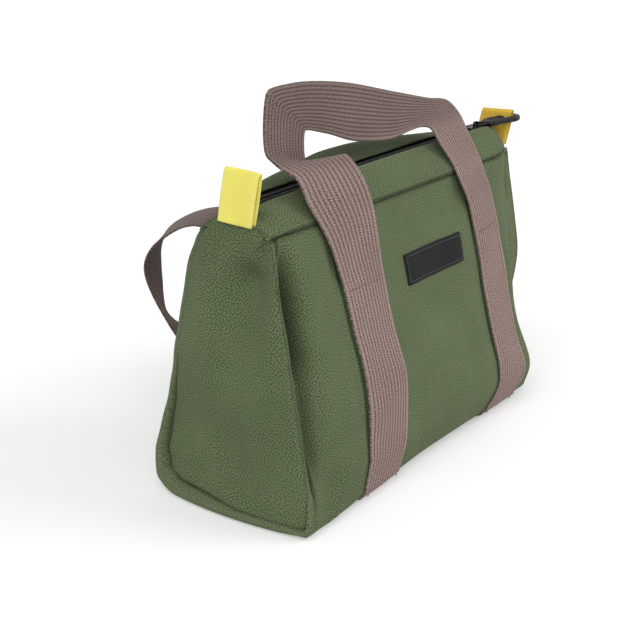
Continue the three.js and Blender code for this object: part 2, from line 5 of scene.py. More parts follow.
import bpy
import numpy as np
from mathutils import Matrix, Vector


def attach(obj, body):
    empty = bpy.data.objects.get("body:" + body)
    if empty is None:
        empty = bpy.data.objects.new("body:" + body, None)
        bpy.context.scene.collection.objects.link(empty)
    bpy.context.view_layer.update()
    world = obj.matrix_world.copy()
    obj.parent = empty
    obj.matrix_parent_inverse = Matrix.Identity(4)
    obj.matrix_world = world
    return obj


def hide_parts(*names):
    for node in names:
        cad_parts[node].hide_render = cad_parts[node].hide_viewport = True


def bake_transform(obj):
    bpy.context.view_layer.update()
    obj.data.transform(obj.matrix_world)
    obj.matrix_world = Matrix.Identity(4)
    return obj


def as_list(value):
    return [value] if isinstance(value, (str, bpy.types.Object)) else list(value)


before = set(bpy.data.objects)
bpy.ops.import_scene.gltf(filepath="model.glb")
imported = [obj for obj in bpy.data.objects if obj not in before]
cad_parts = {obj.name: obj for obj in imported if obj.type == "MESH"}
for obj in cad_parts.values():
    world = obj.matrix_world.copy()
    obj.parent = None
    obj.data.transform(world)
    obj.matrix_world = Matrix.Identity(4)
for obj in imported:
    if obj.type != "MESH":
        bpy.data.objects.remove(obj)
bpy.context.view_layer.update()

MM = 0.001
SIDES = (-1, "front"), (1, "rear")
HALVES = (-1, "left"), (1, "right")

# Sizes shared with the solids
HALF = 175.0
BASE_DEPTH = 130.0
SEAM_DEPTH = 66.0
SEAM_Z = 190.0
CORNER = 24.0  # the canvas settles rounder than its solids
CANVAS = 1.2
PINCH_START = 110.0
PINCH_BASE = 25.0
PINCH_SEAM = 16.0
GUSSET_X = 168.0
WEBBING = 1.5
WEB_WIDTH = 42.0
LEG_X = 85.0
STITCH_Z = 142.0
BASE_Z = 1.8
CORNER_Z = BASE_Z + CORNER
RIDGE_Z = 203.0
RIDGE_GAP = 15.0
LIP_END = 164.7
DROP_X = 149.7
RIDGE_DROP = 7.0
ZIP_Z = 201.31
LIP_SPLIT = -97.0
LIP_OPEN = (-138.0, 115.0)
SEWN = 0.3


def smooth(x, a, b):
    """0 up to a and 1 from b on, with a soft step between them."""
    t = np.clip((np.asarray(x, float) - a) / (b - a), 0, 1)
    return t * t * (3 - 2 * t)


def hump(x, mid, width):
    return np.exp(-(((np.asarray(x, float) - mid) / width) ** 2))


def window(x, a, b, soft):
    return smooth(x, a - soft, a + soft) * (1 - smooth(x, b - soft, b + soft))


def folds(x, z, *rows):
    """Upright folds. A row has a depth, the middle and width across, and from, to and softness in height."""
    return sum(deep * hump(x, mid, width) * window(z, a, b, soft) for deep, mid, width, a, b, soft in rows)


def waves(x, y, seed, scale, count=5):
    """A smooth seeded field of about -1 to 1, made of a few slanted waves."""
    draw = np.random.default_rng(seed)
    total = 0
    for _ in range(count):
        angle, phase = draw.uniform(0, 2 * math.pi, 2)
        length = scale * draw.uniform(0.7, 1.6)
        along = np.cos(angle) * x + np.sin(angle) * y
        total = total + np.sin(2 * math.pi * along / length + phase)
    return total / count


# Shape of the wrap

def pinch(x):
    return smooth(x, PINCH_START, HALF)


def corner_y(x):
    return BASE_DEPTH / 2 - PINCH_BASE * pinch(x) - CORNER


def seam_half(x):
    return SEAM_DEPTH / 2 - PINCH_SEAM * pinch(x)


def wall(x):
    across, up = seam_half(x) - corner_y(x), SEAM_Z - CORNER_Z
    reach = np.hypot(across, up)
    lean = np.arctan2(up, across) - np.arccos(CORNER / reach)
    return lean, np.sqrt(reach**2 - CORNER**2)


def wrap_yz(x, s, out):
    """Distance from the middle plane and height, at s from 0 to 1 round the corner and 1 to 2 up the wall."""
    lean, length = wall(x)
    turn = np.minimum(s, 1) * (math.pi / 2 + lean)
    up = np.maximum(s - 1, 0) * length
    y = corner_y(x) + (CORNER + out) * np.sin(turn) - up * np.sin(lean)
    z = CORNER_Z - (CORNER + out) * np.cos(turn) + up * np.cos(lean)
    return y, z


def station(height):
    """Where a height on the wall is, counted as s."""
    lean, length = wall(0.0)
    return 1 + (height - CORNER_Z - CORNER * math.sin(lean)) / (length * math.cos(lean))


def slack(x, z, long_wave, short_wave, pucker_seed, calm=1.0):
    """What both long walls have: a belly, unevenness from seeded waves, and puckers under the seam."""
    share = np.clip((z - 15) / (SEAM_Z - 15), 0, 1)
    belly = 4.0 * np.sin(math.pi * share) * (1 - np.abs(x / 185) ** 2.5)
    soft = 1.5 * waves(x, z, *long_wave) + 0.7 * waves(x, z, *short_wave)
    pucker = 0.5 * waves(x, z, pucker_seed, 11) * window(z, 174, 188, 5)
    return belly + soft * window(z, 25, 175, 15) * calm + pucker


FRONT_FOLDS = (
    # valley by the left end, its lower reach and the crease at the end panel
    (-14.0, -162, 5.5, 108, 172, 16), (-6.0, -163, 5.5, 44, 112, 18), (-3.5, -168, 1.8, 30, 178, 10),
    # swell beside the valley
    (4.5, -145, 10, 76, 172, 22), (1.5, -128, 12, 60, 165, 25),
    # dips along the left sides of the straps
    (-1.8, -113, 6, 45, 178, 15), (-1.8, 57, 7, 45, 178, 15),
    (-1.2, -107.5, 1.6, 48, 178, 12), (-1.2, 62.5, 1.6, 48, 178, 12),
    # folds of the right end
    (-7.0, 157, 7, 148, 186, 10), (-4.0, 140, 12, 40, 120, 25),
)
SLANTED_FOLDS = (3.4, -156, 5, 12, 40, 6), (-3.0, -166, 6, 12, 36, 6)  # at the left bottom corner
BACK_FOLDS = (-5.0, 142, 14, 70, 165, 25), (-3.0, -146, 12, 90, 165, 22)


def front_puff(x, z):
    low_belly = 6.0 * hump(z, 54 - 0.2 * x, 34) * (1 - np.clip(np.abs(x) / 172, 0, 1) ** 4)
    seam_dent = -3.5 * hump(x, -38, 15) * hump(z, 172, 10) - 3.0 * hump(x, 44, 12) * hump(z, 168, 14)
    even = slack(x, z, (5, 62), (6, 26), 9, calm=1 - 0.8 * smooth(x, 112, 140))
    return even + low_belly + seam_dent + folds(x, z, *FRONT_FOLDS) + folds(x - 0.7 * z, z, *SLANTED_FOLDS)


def back_puff(x, z):
    dent = -3.5 * hump(x, -10, 45) * hump(z, 150, 28)
    return slack(x, z, (11, 66), (12, 28), 10) + dent + folds(x, z, *BACK_FOLDS)


def corner_point(side, x, s):
    """Canvas that stands out of the rounded bottom edge, where the left end is pulled to a point."""
    lean, _ = wall(x)
    whole = math.pi / 2 + lean
    turn = np.clip(s, 0, 1) * whole
    reach = CORNER * (1 / np.cos(np.minimum(turn, whole - turn)) - 1)
    if side < 0:
        return (0.4 + 0.25 * smooth(-x, 20, 110) + 0.15 * smooth(-x, 112, 168)) * reach
    return 0.25 * smooth(-x, 112, 168) * reach


def settle(points):
    """How the sewn shape settles: the ends lean in and touch the floor, the right end draws in."""
    x, y, z = points[..., 0], points[..., 1], points[..., 2]
    height = np.clip(z / SEAM_Z, 0, 1.05) ** 1.3
    dx = (5.5 * smooth(-x, 145, 172) - 7.0 * smooth(x, 145, 172)) * height
    dx = dx - (2.5 + 6.5 * np.clip(1 - (y / 60) ** 2, 0, 1)) * smooth(-x, 145, 175) * (1 - smooth(z, 3, 26))
    dx = dx - 7.0 * smooth(x, 125, 172) * (1 - smooth(z, 30, 95))
    foot = 12.0 * smooth(x, 112, 168) * (1 - smooth(z, 40, 110)) * smooth(np.abs(y), 9, 30)
    flank = 5.0 * smooth(x, 122, 172) * window(z, 45, 205, 30) * smooth(np.abs(y), 9, 18)
    back = 6.5 * (smooth(z, 15, 90) + smooth(z, 160, 196)) * smooth(-x, 108, 168) * smooth(y, 8, 33)
    front = 6.5 * smooth(x, 50, 110) * (1 - smooth(x, 128, 168)) * smooth(-y, 8, 30)
    front = front * smooth(z, 20, 60) * (1 - 0.8 * smooth(z, 160, 186))
    dy = front - back - np.sign(y) * (foot + flank)
    dz = -1.4 * smooth(np.abs(x), 110, 130) * (1 - smooth(z, 2, 30))
    dz = dz - 5.0 * smooth(x, 135, 172) * smooth(z, 130, 190) * smooth(np.abs(y), 6, 17)
    dz = dz - 6.0 * hump(x, 157, 7) * smooth(z, 165, 190) * smooth(-y, 8, 18)
    dz = dz - 6.0 * smooth(x, 145, 161) * smooth(z, 180, 200)
    return points + np.stack([dx, dy, dz], -1)


def wrap_out(side, x, s):
    _, z = wrap_yz(x, s, 0.0)
    puff = front_puff(x, z) if side < 0 else back_puff(x, z)
    tuck = -1.2 * smooth(z, SEAM_Z - 7, SEAM_Z) - 2.6 * smooth(z, SEAM_Z - 2.6, SEAM_Z)
    return puff * smooth(s, 0.15, 1.0) + corner_point(side, x, s) + tuck


def foot_lean(side, x, s):
    """How far a front strap slants to the left as it turns under the bag."""
    return (-12.0 if x < 0 else -20.0) * (1 - smooth(s, 0.1, 1.2)) * (side < 0)


def end_roll(c):
    """How far the wrap's ends roll inwards to the end panel's seam, along the wrap from front to back."""
    return 0.8 + 7.7 * smooth(c, 0.95, 2.0) + 4.0 * hump(c, 3.5, 0.4) - 5.0 * smooth(c, 3.9, 4.5)


def end_seam(c):
    """Where that seam lies from the middle: close to the crease at the front, set in elsewhere."""
    return GUSSET_X + 6.2 * (1 - smooth(c, 0.9, 2.0)) + 5.4 * smooth(c, 4.1, 4.5)


def wrap_at(c, x, extra):
    """A point of the wrap: c from 0 to 1 is the front wall, to 2 its corner, to 3 the base, to 5 the back."""
    c, x, extra = np.broadcast_arrays(np.asarray(c, float), x, extra)
    side = np.where(c < 2.5, -1.0, 1.0)
    s = np.clip(np.where(c < 2.5, 2 - c, c - 3), 0, 2)
    out = np.where(side < 0, wrap_out(-1, x, s), wrap_out(1, x, s)) + extra
    y, z = wrap_yz(x, s, out)
    share = np.clip((c - 2) * 2 - 1, -1, 1)
    flat = (c > 2) & (c < 3)
    sag = 1.5 * (1 - share**2) * window(x, -52, 52, 12)
    y = np.where(flat, share * corner_y(x), side * y)
    z = np.where(flat, BASE_Z - sag - extra, z)
    return np.stack([x, y, z], -1)


def wall_surface(side, x, s, out):
    """A point standing out from the puffed wall."""
    y, z = wrap_yz(x, s, wrap_out(side, x, s) + out)
    return settle(np.stack([np.broadcast_to(x, y.shape), side * y, z], -1))


# Mesh helpers

def mesh_object(name, verts, faces, material, uvs=None, **fields):
    """A smooth mesh. fields are numbers for each point that its material reads."""
    mesh = bpy.data.meshes.new(name)
    mesh.from_pydata((np.asarray(verts) * MM).tolist(), [], faces)
    if uvs is not None:
        layer = mesh.uv_layers.new(name="cloth")
        index = np.zeros(len(mesh.loops), np.int32)
        mesh.loops.foreach_get("vertex_index", index)
        layer.data.foreach_set("uv", np.asarray(uvs, np.float32)[index].ravel())
    for key, values in fields.items():
        attribute = mesh.attributes.new(key, "FLOAT", "POINT")
        attribute.data.foreach_set("value", np.asarray(values, np.float32))
    mesh.polygons.foreach_set("use_smooth", [True] * len(mesh.polygons))
    mesh.update()
    mesh.materials.append(material)
    obj = bpy.data.objects.new(name, mesh)
    bpy.context.scene.collection.objects.link(obj)
    return obj


def unit(v):
    return v / np.maximum(np.linalg.norm(v, axis=-1, keepdims=True), 1e-9)


def run_along(points):
    """Lengths along a line of points, from its start."""
    return np.concatenate([[0], np.cumsum(np.linalg.norm(np.diff(points, axis=0), axis=1))])


def grid_steps(points):
    """Lengths of the steps along the rows and along the columns of a grid."""
    return [np.linalg.norm(np.diff(points, axis=axis), axis=-1) for axis in (1, 0)]


def cloth_lengths(points):
    """Lengths along every row and every column from the middle ones, so that folds don't stretch the weave."""
    over, down = grid_steps(points)
    u = np.pad(np.cumsum(over, axis=1), ((0, 0), (1, 0)))
    v = np.pad(np.cumsum(down, axis=0), ((1, 0), (0, 0)))
    return np.stack([u - u[:, u.shape[1] // 2, None], v - v[v.shape[0] // 2]], -1)


def mean_run(points):
    """Mean lengths down the columns of a grid, from its first row."""
    return np.concatenate([[0], np.cumsum(grid_steps(points)[1].mean(1))])


RIM = 0.4  # how far a rim stands out, in thicknesses


def cloth(name, points, thickness, material, share=0.5, wear=None, uvs=None, butt=None, painted_shade=None):
    """A closed sheet round a grid of points, with a rounded rim. share is how much of it stands out of the grid.
    butt is the end row that meets another sheet and stays flat."""
    rows, cols = points.shape[:2]
    count = rows * cols
    normal = unit(np.cross(np.gradient(points, axis=0), np.gradient(points, axis=1)))
    top = points + normal * thickness * share
    low = points - normal * thickness * (1 - share)
    index = np.arange(count).reshape(rows, cols)
    ring = np.concatenate([index[0], index[1:, -1], index[-1, -2::-1], index[-2:0:-1, 0]])
    i, j = np.divmod(ring, cols)
    inner = points[np.clip(i, 1, rows - 2), np.clip(j, 1, cols - 2)]
    reach = np.full(len(ring), RIM * thickness)
    if butt is not None:
        reach[i == butt] = 0.0
    rim = (top[i, j] + low[i, j]) / 2 + unit(points[i, j] - inner) * reach[:, None]
    verts = np.concatenate([top.reshape(-1, 3), low.reshape(-1, 3), rim])
    a, b, c, d = (part.ravel() for part in (index[:-1, :-1], index[1:, :-1], index[1:, 1:], index[:-1, 1:]))
    quads = [np.stack([a, b, c, d], -1), np.stack([a, d, c, b], -1) + count]
    edge, ahead = 2 * count + np.arange(len(ring)), np.roll(ring, -1)
    edge_ahead = np.roll(edge, -1)
    quads += [np.stack([ring, ahead, edge_ahead, edge], -1)]
    quads += [np.stack([edge, edge_ahead, ahead + count, ring + count], -1)]

    def all_round(values, *shape):
        values = np.asarray(values, float).reshape(-1, *shape)
        return np.concatenate([values, values, values[ring]])

    # painted_shade is a number for each point by which the material paints shade into the colour
    fields = {"wear": all_round(np.zeros(count) if wear is None else wear)}
    if painted_shade is not None:
        fields["painted_shade"] = all_round(painted_shade)
    uvs = all_round(cloth_lengths(points) if uvs is None else uvs, 2)
    obj = mesh_object(name, verts, np.concatenate(quads).tolist(), material, uvs, **fields)
    if butt is not None:
        flat_end = {*index[butt].tolist(), *(index[butt] + count).tolist()}
        sharp = [set(e.vertices) <= flat_end for e in obj.data.edges]
        obj.data.attributes.new("sharp_edge", "BOOLEAN", "EDGE").data.foreach_set("value", sharp)
    return obj


def ring_faces(count, sides, first=0, closed=False, flip=False):
    """Faces round a tube of count rings, with caps unless it closes on itself."""
    faces = []
    for r in range(count if closed else count - 1):
        a, b = r * sides, (r + 1) % count * sides
        faces += [(a + k, a + (k + 1) % sides, b + (k + 1) % sides, b + k) for k in range(sides)]
    if not closed:
        faces += [tuple(range(sides - 1, -1, -1)), tuple(range((count - 1) * sides, count * sides))]
    if flip:
        faces = [f[:1] + f[:0:-1] for f in faces]
    return [tuple(first + k for k in f) for f in faces]


def turns(sides, start=0.0):
    """Angles of the corners of a ring."""
    return [2 * math.pi * (k + start) / sides for k in range(sides)]


def squared(value, power):
    """Pulls a cosine or sine outwards, so that a ring gets squarer."""
    return math.copysign(abs(value) ** power, value)


# Along a stitch, its width and its rise
STITCH_RINGS = [(-0.5, 0.25, -0.35), (-0.36, 0.8, 0.0), (0.0, 1.0, 0.25), (0.36, 0.8, 0.0), (0.5, 0.25, -0.35)]
STITCH_SIDES = 6


def stitches(name, lines, material, pitch=3.4, length=2.5, radius=0.42):
    """Rows of raised thread, one short bent strand a stitch, along lines of points with their normals."""
    verts, faces, uvs = [], [], []
    for points, normal in lines:
        run = run_along(points)

        def pick(t, track):
            return np.array([np.interp(t, run, track[:, k]) for k in range(3)])

        for middle in np.arange(pitch / 2, run[-1] - pitch / 4, pitch):
            n = unit(pick(middle, normal))
            along = unit(pick(middle + length / 2, points) - pick(middle - length / 2, points))
            side = unit(np.cross(n, along))
            faces += ring_faces(len(STITCH_RINGS), STITCH_SIDES, len(verts))
            for t, r, rise in STITCH_RINGS:
                at = pick(middle, points) + along * t * length + n * rise * radius
                for k, a in enumerate(turns(STITCH_SIDES)):
                    verts.append(at + radius * r * (math.cos(a) * side + math.sin(a) * n))
                    uvs.append((k, t * length + middle))
    return mesh_object(name, verts, faces, material, uvs)


# Materials

class Graph:
    """A node tree of a material or world, with short names for its nodes."""

    def __init__(self, owner):
        owner.use_nodes = True
        self.owner, self.tree = owner, owner.node_tree

    def put(self, socket, value):
        if isinstance(value, bpy.types.NodeSocket):
            self.tree.links.new(value, socket)
        else:
            socket.default_value = value

    def node(self, kind, inputs, **settings):
        """Outputs of a new node, once it is set and its inputs are filled."""
        node = self.tree.nodes.new(kind)
        for key, value in settings.items():
            setattr(node, key, value)
        for key, value in inputs.items():
            self.put(node.inputs[key], value)
        return node.outputs

    def math(self, operation, *values, clamp=False):
        return self.node("ShaderNodeMath", dict(enumerate(values)), operation=operation, use_clamp=clamp)[0]

    def plus(self, a, b, clamp=False):
        return self.math("ADD", a, b, clamp=clamp)

    def minus(self, a, b):
        return self.math("SUBTRACT", a, b)

    def times(self, a, b):
        return self.math("MULTIPLY", a, b)

    def cloth_uv(self):
        return self.node("ShaderNodeSeparateXYZ", {0: self.node("ShaderNodeUVMap", {}, uv_map="cloth")[0]})[:2]

    def wave(self, along, pitch):
        return self.math("SINE", self.times(along, 2 * math.pi / pitch))

    def arch(self, steps):
        """Rises to 1 in the middle of each whole step and falls to 0 between steps."""
        return self.math("ABSOLUTE", self.math("SINE", self.times(steps, math.pi)))

    def plane(self, u, v, su=1.0, sv=1.0):
        return self.node("ShaderNodeCombineXYZ", {0: self.times(u, su), 1: self.times(v, sv)})[0]

    def place(self):
        return self.node("ShaderNodeTexCoord", {})["Object"]

    def noise(self, vector, scale, detail):
        return self.node("ShaderNodeTexNoise", {"Vector": vector, "Scale": scale, "Detail": detail})["Fac"]

    def chance(self, u, v):
        """A steady random number for each whole step of u and v."""
        return self.node("ShaderNodeTexWhiteNoise", {"Vector": self.plane(u, v)}, noise_dimensions="2D")["Value"]

    def field(self, name):
        return self.node("ShaderNodeAttribute", {}, attribute_name=name)["Fac"]

    def span(self, *values):
        """A value, the limits that it is taken between, and what they become."""
        return self.node("ShaderNodeMapRange", dict(enumerate(values)))[0]

    def mix(self, share, a, b):
        return self.node("ShaderNodeMix", {0: share, 6: a, 7: b}, data_type="RGBA")[2]

    def scaled(self, colour, factor):
        return self.node("ShaderNodeVectorMath", {0: colour, "Scale": factor}, operation="SCALE")[0]

    def bump(self, height, strength, distance, **below):
        inputs = {"Strength": strength, "Distance": distance, "Height": height, **below}
        return self.node("ShaderNodeBump", inputs)[0]

    def seen(self):
        """1 for a ray from the camera, straight or mirrored, and 0 for light that falls on things."""
        rays = self.node("ShaderNodeLightPath", {})
        seen = self.math("MAXIMUM", rays["Is Camera Ray"], rays["Is Glossy Ray"])
        return self.math("MAXIMUM", seen, rays["Is Transmission Ray"])

    def finish(self, colour, roughness, normal=None, **others):
        inputs = self.tree.nodes["Principled BSDF"].inputs
        self.put(inputs["Base Color"], colour)
        self.put(inputs["Roughness"], roughness)
        if normal is not None:
            self.put(inputs["Normal"], normal)
        for key, value in others.items():
            self.put(inputs[key.replace("_", " ")], value)
        return self.owner


def material(name):
    return Graph(bpy.data.materials.new(name))


YARN = 0.8


def canvas_material():
    """Plain weave: every crossing of two yarns is a small pillow, with a tone that differs from its neighbours."""
    g = material("green_canvas")
    u, v = g.cloth_uv()
    warp, weft = g.math("DIVIDE", u, YARN), g.math("DIVIDE", v, YARN)
    i, j = g.math("FLOOR", warp), g.math("FLOOR", weft)
    pillow = g.math("POWER", g.times(g.arch(warp), g.arch(weft)), 0.4)
    cell = g.chance(i, j)
    beside = g.plus(g.chance(g.plus(i, 1.0), j), g.chance(g.minus(i, 1.0), j))
    above = g.plus(g.chance(i, g.plus(j, 1.0)), g.chance(i, g.minus(j, 1.0)))
    contrast = g.minus(cell, g.times(g.plus(beside, above), 0.25))
    yarn = g.plus(g.chance(i, 3.0), g.chance(5.0, j))
    grain = g.noise(g.plane(u, v), 0.5, 2.0)
    patches = g.noise(g.place(), 22.0, 4.0)
    # painted shade: the gaps between the yarn crossings are painted darker, down to 0.66 of the tone
    tone = g.span(pillow, 0, 1, 0.66, 1.17)
    tone = g.times(tone, g.span(contrast, -0.6, 0.75, 0.16, 2.05))
    tone = g.times(tone, g.span(yarn, 0, 2, 0.94, 1.06))
    tone = g.times(tone, g.span(grain, 0.3, 0.7, 0.98, 1.02))
    tone = g.times(tone, g.span(patches, 0.3, 0.7, 0.92, 1.08))
    hue = g.mix(g.noise(g.place(), 60.0, 2.0), (0.111, 0.152, 0.069, 1), (0.126, 0.154, 0.082, 1))
    rubbed = g.span(g.noise(g.plane(u, v, 0.6, 0.6), 1.0, 4.0), 0.35, 0.7, 0.2, 1.0)
    colour = g.mix(g.times(g.field("wear"), rubbed), g.scaled(hue, tone), (0.20, 0.245, 0.145, 1))
    # painted shade: the painted_shade field darkens the colour down to 0.3
    colour = g.scaled(colour, g.span(g.field("painted_shade"), 0.0, 1.0, 1.0, 0.3))
    normal = g.bump(g.noise(g.plane(u, v, 0.05, 0.05), 1.0, 2.0), 0.3, 0.0010)
    normal = g.bump(g.plus(pillow, g.times(cell, 0.5)), 0.5, 0.00015, Normal=normal)
    rough = g.span(grain, 0.3, 0.7, 0.86, 0.98)
    return g.finish(colour, rough, normal, Sheen_Weight=0.04, Sheen_Roughness=0.6, Specular_IOR_Level=0.12)


def webbing_material(name, dark, light, rib, tooth, worn):
    """Ribbed webbing: rows of small holes between the ribs, and slanted picks on each rib."""
    g = material(name)
    u, v = g.cloth_uv()
    across = g.math("DIVIDE", u, rib)
    ridge = g.arch(across)
    column = g.math("FLOOR", g.plus(across, 0.5))
    shift = g.times(g.math("FLOORED_MODULO", column, 2.0), tooth / 2)
    beat = g.span(g.wave(g.plus(v, shift), tooth), -1, 1, 0.0, 1.0)
    hole = g.times(g.minus(1.0, ridge), beat)
    slant = g.plus(v, g.times(ridge, tooth * 0.4))
    pick = g.span(g.wave(slant, tooth), -1, 1, 0.55, 1.0)
    fibre = g.noise(g.plane(u, v, 1.3), 1.0, 2.0)
    height = g.minus(g.times(g.math("POWER", ridge, 0.5), pick), hole)
    share = g.plus(g.span(height, -0.45, 1.0, 0.0, 0.78), g.span(fibre, 0.3, 0.7, -0.4, 0.4), clamp=True)
    patches = g.span(g.noise(g.place(), 30.0, 3.0), 0.3, 0.7, 0.93, 1.06)
    # painted shade: the holes and grooves between the ribs are painted towards the dark colour, the rib tops towards
    # the light one
    colour = g.scaled(g.mix(share, dark, light), patches)
    faded = g.times(g.field("wear"), g.span(fibre, 0.35, 0.65, 0.2, 0.9))
    # wear lightens towards the worn colour; painted shade: the painted_shade field darkens it down to 0.64
    colour = g.scaled(g.mix(faded, colour, worn), g.span(g.field("painted_shade"), 0.0, 1.0, 1.0, 0.64))
    rough = g.span(fibre, 0.3, 0.7, 0.76, 0.94)
    normal = g.bump(height, 0.6, 0.0003)
    return g.finish(colour, rough, normal, Sheen_Weight=0.06, Sheen_Roughness=0.5, Specular_IOR_Level=0.15)


def thread_material(name, dark, light):
    g = material(name)
    u, v = g.cloth_uv()
    ply = g.wave(g.plus(g.times(u, 0.35), v), 0.8)
    fibre = g.noise(g.plane(u, v, 1.0, 2.0), 1.5, 2.0)
    # painted shade: the grooves between the plies are painted towards the dark colour
    colour = g.mix(g.times(g.span(ply, -1, 1, 0.3, 1.0), fibre), dark, light)
    return g.finish(colour, g.span(fibre, 0.3, 0.7, 0.6, 0.85), g.bump(ply, 0.5, 0.0001), Sheen_Weight=0.15)


def tape_material(name, dark, light, pitch):
    g = material(name)
    u, v = g.cloth_uv()
    weave = g.plus(g.wave(g.plus(u, v), pitch), g.wave(g.minus(u, v), pitch * 1.7))
    fibre = g.noise(g.plane(u, v), 1.3, 3.0)
    share = g.times(g.span(weave, -2, 2, 0.1, 1.0), fibre)
    # painted shade: the hollows of the weave are painted towards the dark colour; wear lightens it
    colour = g.mix(g.plus(share, g.times(g.field("wear"), 0.6), clamp=True), dark, light)
    rough, normal = g.span(fibre, 0.3, 0.7, 0.7, 0.9), g.bump(weave, 0.5, 0.0002)
    return g.finish(colour, rough, normal, Sheen_Weight=0.02, Specular_IOR_Level=0.2)


def plastic_material(name, scale, dark, light, rough, relief, gloss, speckled=False):
    """Moulded black, smeared or speckled with its lighter colour."""
    g = material(name)
    smear = g.noise(g.place(), scale, 3.0)
    share = g.span(g.noise(g.place(), 900.0, 4.0), 0.6, 0.78, 0.0, 0.5) if speckled else smear
    colour = g.mix(share, dark, light)
    return g.finish(colour, g.span(smear, 0.3, 0.7, *rough), g.bump(smear, *relief), Specular_IOR_Level=gloss)


CANVAS_LOOK = canvas_material()
WEBBING_LOOK = webbing_material(
    "mauve_webbing", (0.068, 0.041, 0.037, 1), (0.50, 0.357, 0.32, 1), rib=WEB_WIDTH / 13, tooth=1.8,
    worn=(0.50, 0.39, 0.35, 1),
)
YELLOW_LOOK = webbing_material(
    "yellow_tape", (1.0, 0.86, 0.14, 1), (1.0, 0.96, 0.24, 1), rib=2.17, tooth=1.4, worn=(1.0, 0.94, 0.42, 1)
)
AMBER_LOOK = webbing_material(
    "amber_tape", (0.70, 0.42, 0.04, 1), (1.0, 0.68, 0.10, 1), rib=2.17, tooth=1.4, worn=(0.95, 0.72, 0.2, 1)
)
TAPE_LOOK = tape_material("zip_tape", (0.006, 0.006, 0.007, 1), (0.024, 0.024, 0.026, 1), pitch=1.2)
LABEL_LOOK = tape_material("label_cloth", (0.005, 0.005, 0.006, 1), (0.026, 0.026, 0.027, 1), pitch=0.9)
ENAMEL_LOOK = plastic_material(
    "black_enamel", 160.0, (0.006, 0.006, 0.007, 1), (0.03, 0.029, 0.028, 1),
    rough=(0.32, 0.5), relief=(0.12, 0.0003), gloss=0.3, speckled=True,
)
TEETH_LOOK = plastic_material(
    "black_teeth", 240.0, (0.007, 0.007, 0.008, 1), (0.022, 0.022, 0.023, 1),
    rough=(0.4, 0.6), relief=(0.2, 0.0002), gloss=0.2,
)
MAUVE_THREAD = thread_material("mauve_thread", (0.05, 0.032, 0.030, 1), (0.22, 0.16, 0.15, 1))
GREEN_THREAD = thread_material("green_thread", (0.06, 0.08, 0.04, 1), (0.17, 0.21, 0.115, 1))
BLACK_THREAD = thread_material("black_thread", (0.03, 0.03, 0.032, 1), (0.14, 0.14, 0.145, 1))


# Body of the bag

# Shares of the margin and of the roll at the wrap's ends
roll_in = np.array([1.0, 0.62, 0.25, 0.02, 0.02, 0.25, 1.0])
roll_down = np.array([1.0, 0.98, 0.82, 0.54, 0.26, 0.06, 0.0])
FLAT_COUNT = 150
spread = np.linspace(-1, 1, 2001)
crowding = 1 + 4 * (hump(spread, -0.99, 0.07) + hump(spread, -0.63, 0.03) + hump(spread, 0.37, 0.03))
crowding = np.cumsum(crowding) - crowding[0]
columns = np.interp(np.linspace(0, crowding[-1], FLAT_COUNT), crowding, spread)
CONTOUR_STEPS = 63, 13, 25, 13, 63  # rows of the front wall, its corner, the base, the back corner and wall
contour = np.concatenate([np.linspace(k, k + 1, n + 1)[:-1] for k, n in enumerate(CONTOUR_STEPS)] + [[5.0]])
margin = (HALF - end_seam(contour))[:, None] * roll_in
inner = columns * (end_seam(contour)[:, None] - 1.5)
column_x = np.concatenate([margin - HALF, inner, (HALF - margin)[:, ::-1]], axis=1)
column_roll = np.concatenate([roll_down, np.zeros(FLAT_COUNT), roll_down[::-1]])
row_at = contour[:, None]
wrap_points = settle(wrap_at(row_at, column_x, -end_roll(row_at) * column_roll))
edge_wear = 0.5 * hump(np.abs(column_x), HALF, 1.6) * smooth(row_at, 0.9, 1.6)
edge_wear = np.maximum(edge_wear, 0.45 * smooth(-column_x, 168, 172) * window(row_at, 1.8, 3.5, 0.3))
# Painted shade on the wrap: a dark line along the crease at the left end panel's seam, painted shadows along the
# straps' left edges, darker valleys and folds, and dark lines along the top seams of both walls
strap_shade = sum(
    hump(column_x, x - WEB_WIDTH / 2 - 1 + foot_lean(-1, x, np.clip(2 - row_at, 0, 2)), 1.4) for x in (-LEG_X, LEG_X)
)
PAINTED_SHADE_FOLDS = (0.6, -159, 4, 108, 160, 12), (0.6, -163, 4, 40, 112, 12), (0.5, 157, 3.5, 150, 186, 8)
wrap_painted_shade = hump(column_x, -168, 1.8) + 0.8 * strap_shade + folds(column_x, wrap_points[..., 2], *PAINTED_SHADE_FOLDS)
wrap_painted_shade = wrap_painted_shade * (1 - smooth(row_at, 0.95, 1.6)) + hump(row_at, 0.0, 0.018) + hump(row_at, 5.0, 0.018)
wrap_painted_shade = np.minimum(wrap_painted_shade, 1.0)
wrap = cloth("canvas_wrap", wrap_points, CANVAS, CANVAS_LOOK, share=0.0, wear=edge_wear, painted_shade=wrap_painted_shade)


def lip_height(x, y):
    """Height of the lips over the end panels."""
    share = np.clip(seam_half(x) - np.abs(y), 0, None) / (seam_half(x) - RIDGE_GAP / 2)
    return SEAM_Z + (RIDGE_Z - RIDGE_DROP - SEAM_Z) * np.clip(share, 0, 1)


def left_dents(y, z):
    shape = -9.5 * hump(y, -20, 13) * smooth(z, 116, 160) * (1 - smooth(z, 161, 177))
    shape += folds(y, z, (-3.5, -8, 14, 88, 150, 22), (3.0, 14, 16, 80, 185, 30))
    shape += folds(y + 0.2 * (z - 120), z, (2.2, -36, 8, 40, 140, 20)) - 3.5 * hump(y, -8, 17) * hump(z, 52, 20)
    shape += -3.0 * hump(y + 0.8 * (z - 182), -33, 4) * hump(z, 181, 8)
    return shape + 1.4 * waves(y, z, 3, 46) + 0.6 * waves(y, z, 4, 22)


def right_dents(y, z):
    return folds(y, z, (-9.0, 0, 9, 40, 178, 25)) + 0.8 * waves(y, z, 8, 50)


UNDER_WRAP, UNDER_LIP = 0.3, 0.7  # how far an end panel lies under its neighbours
TUCK_Y, TUCK_Z = -29.5, 186.0  # the small tuck by the top of the front edge


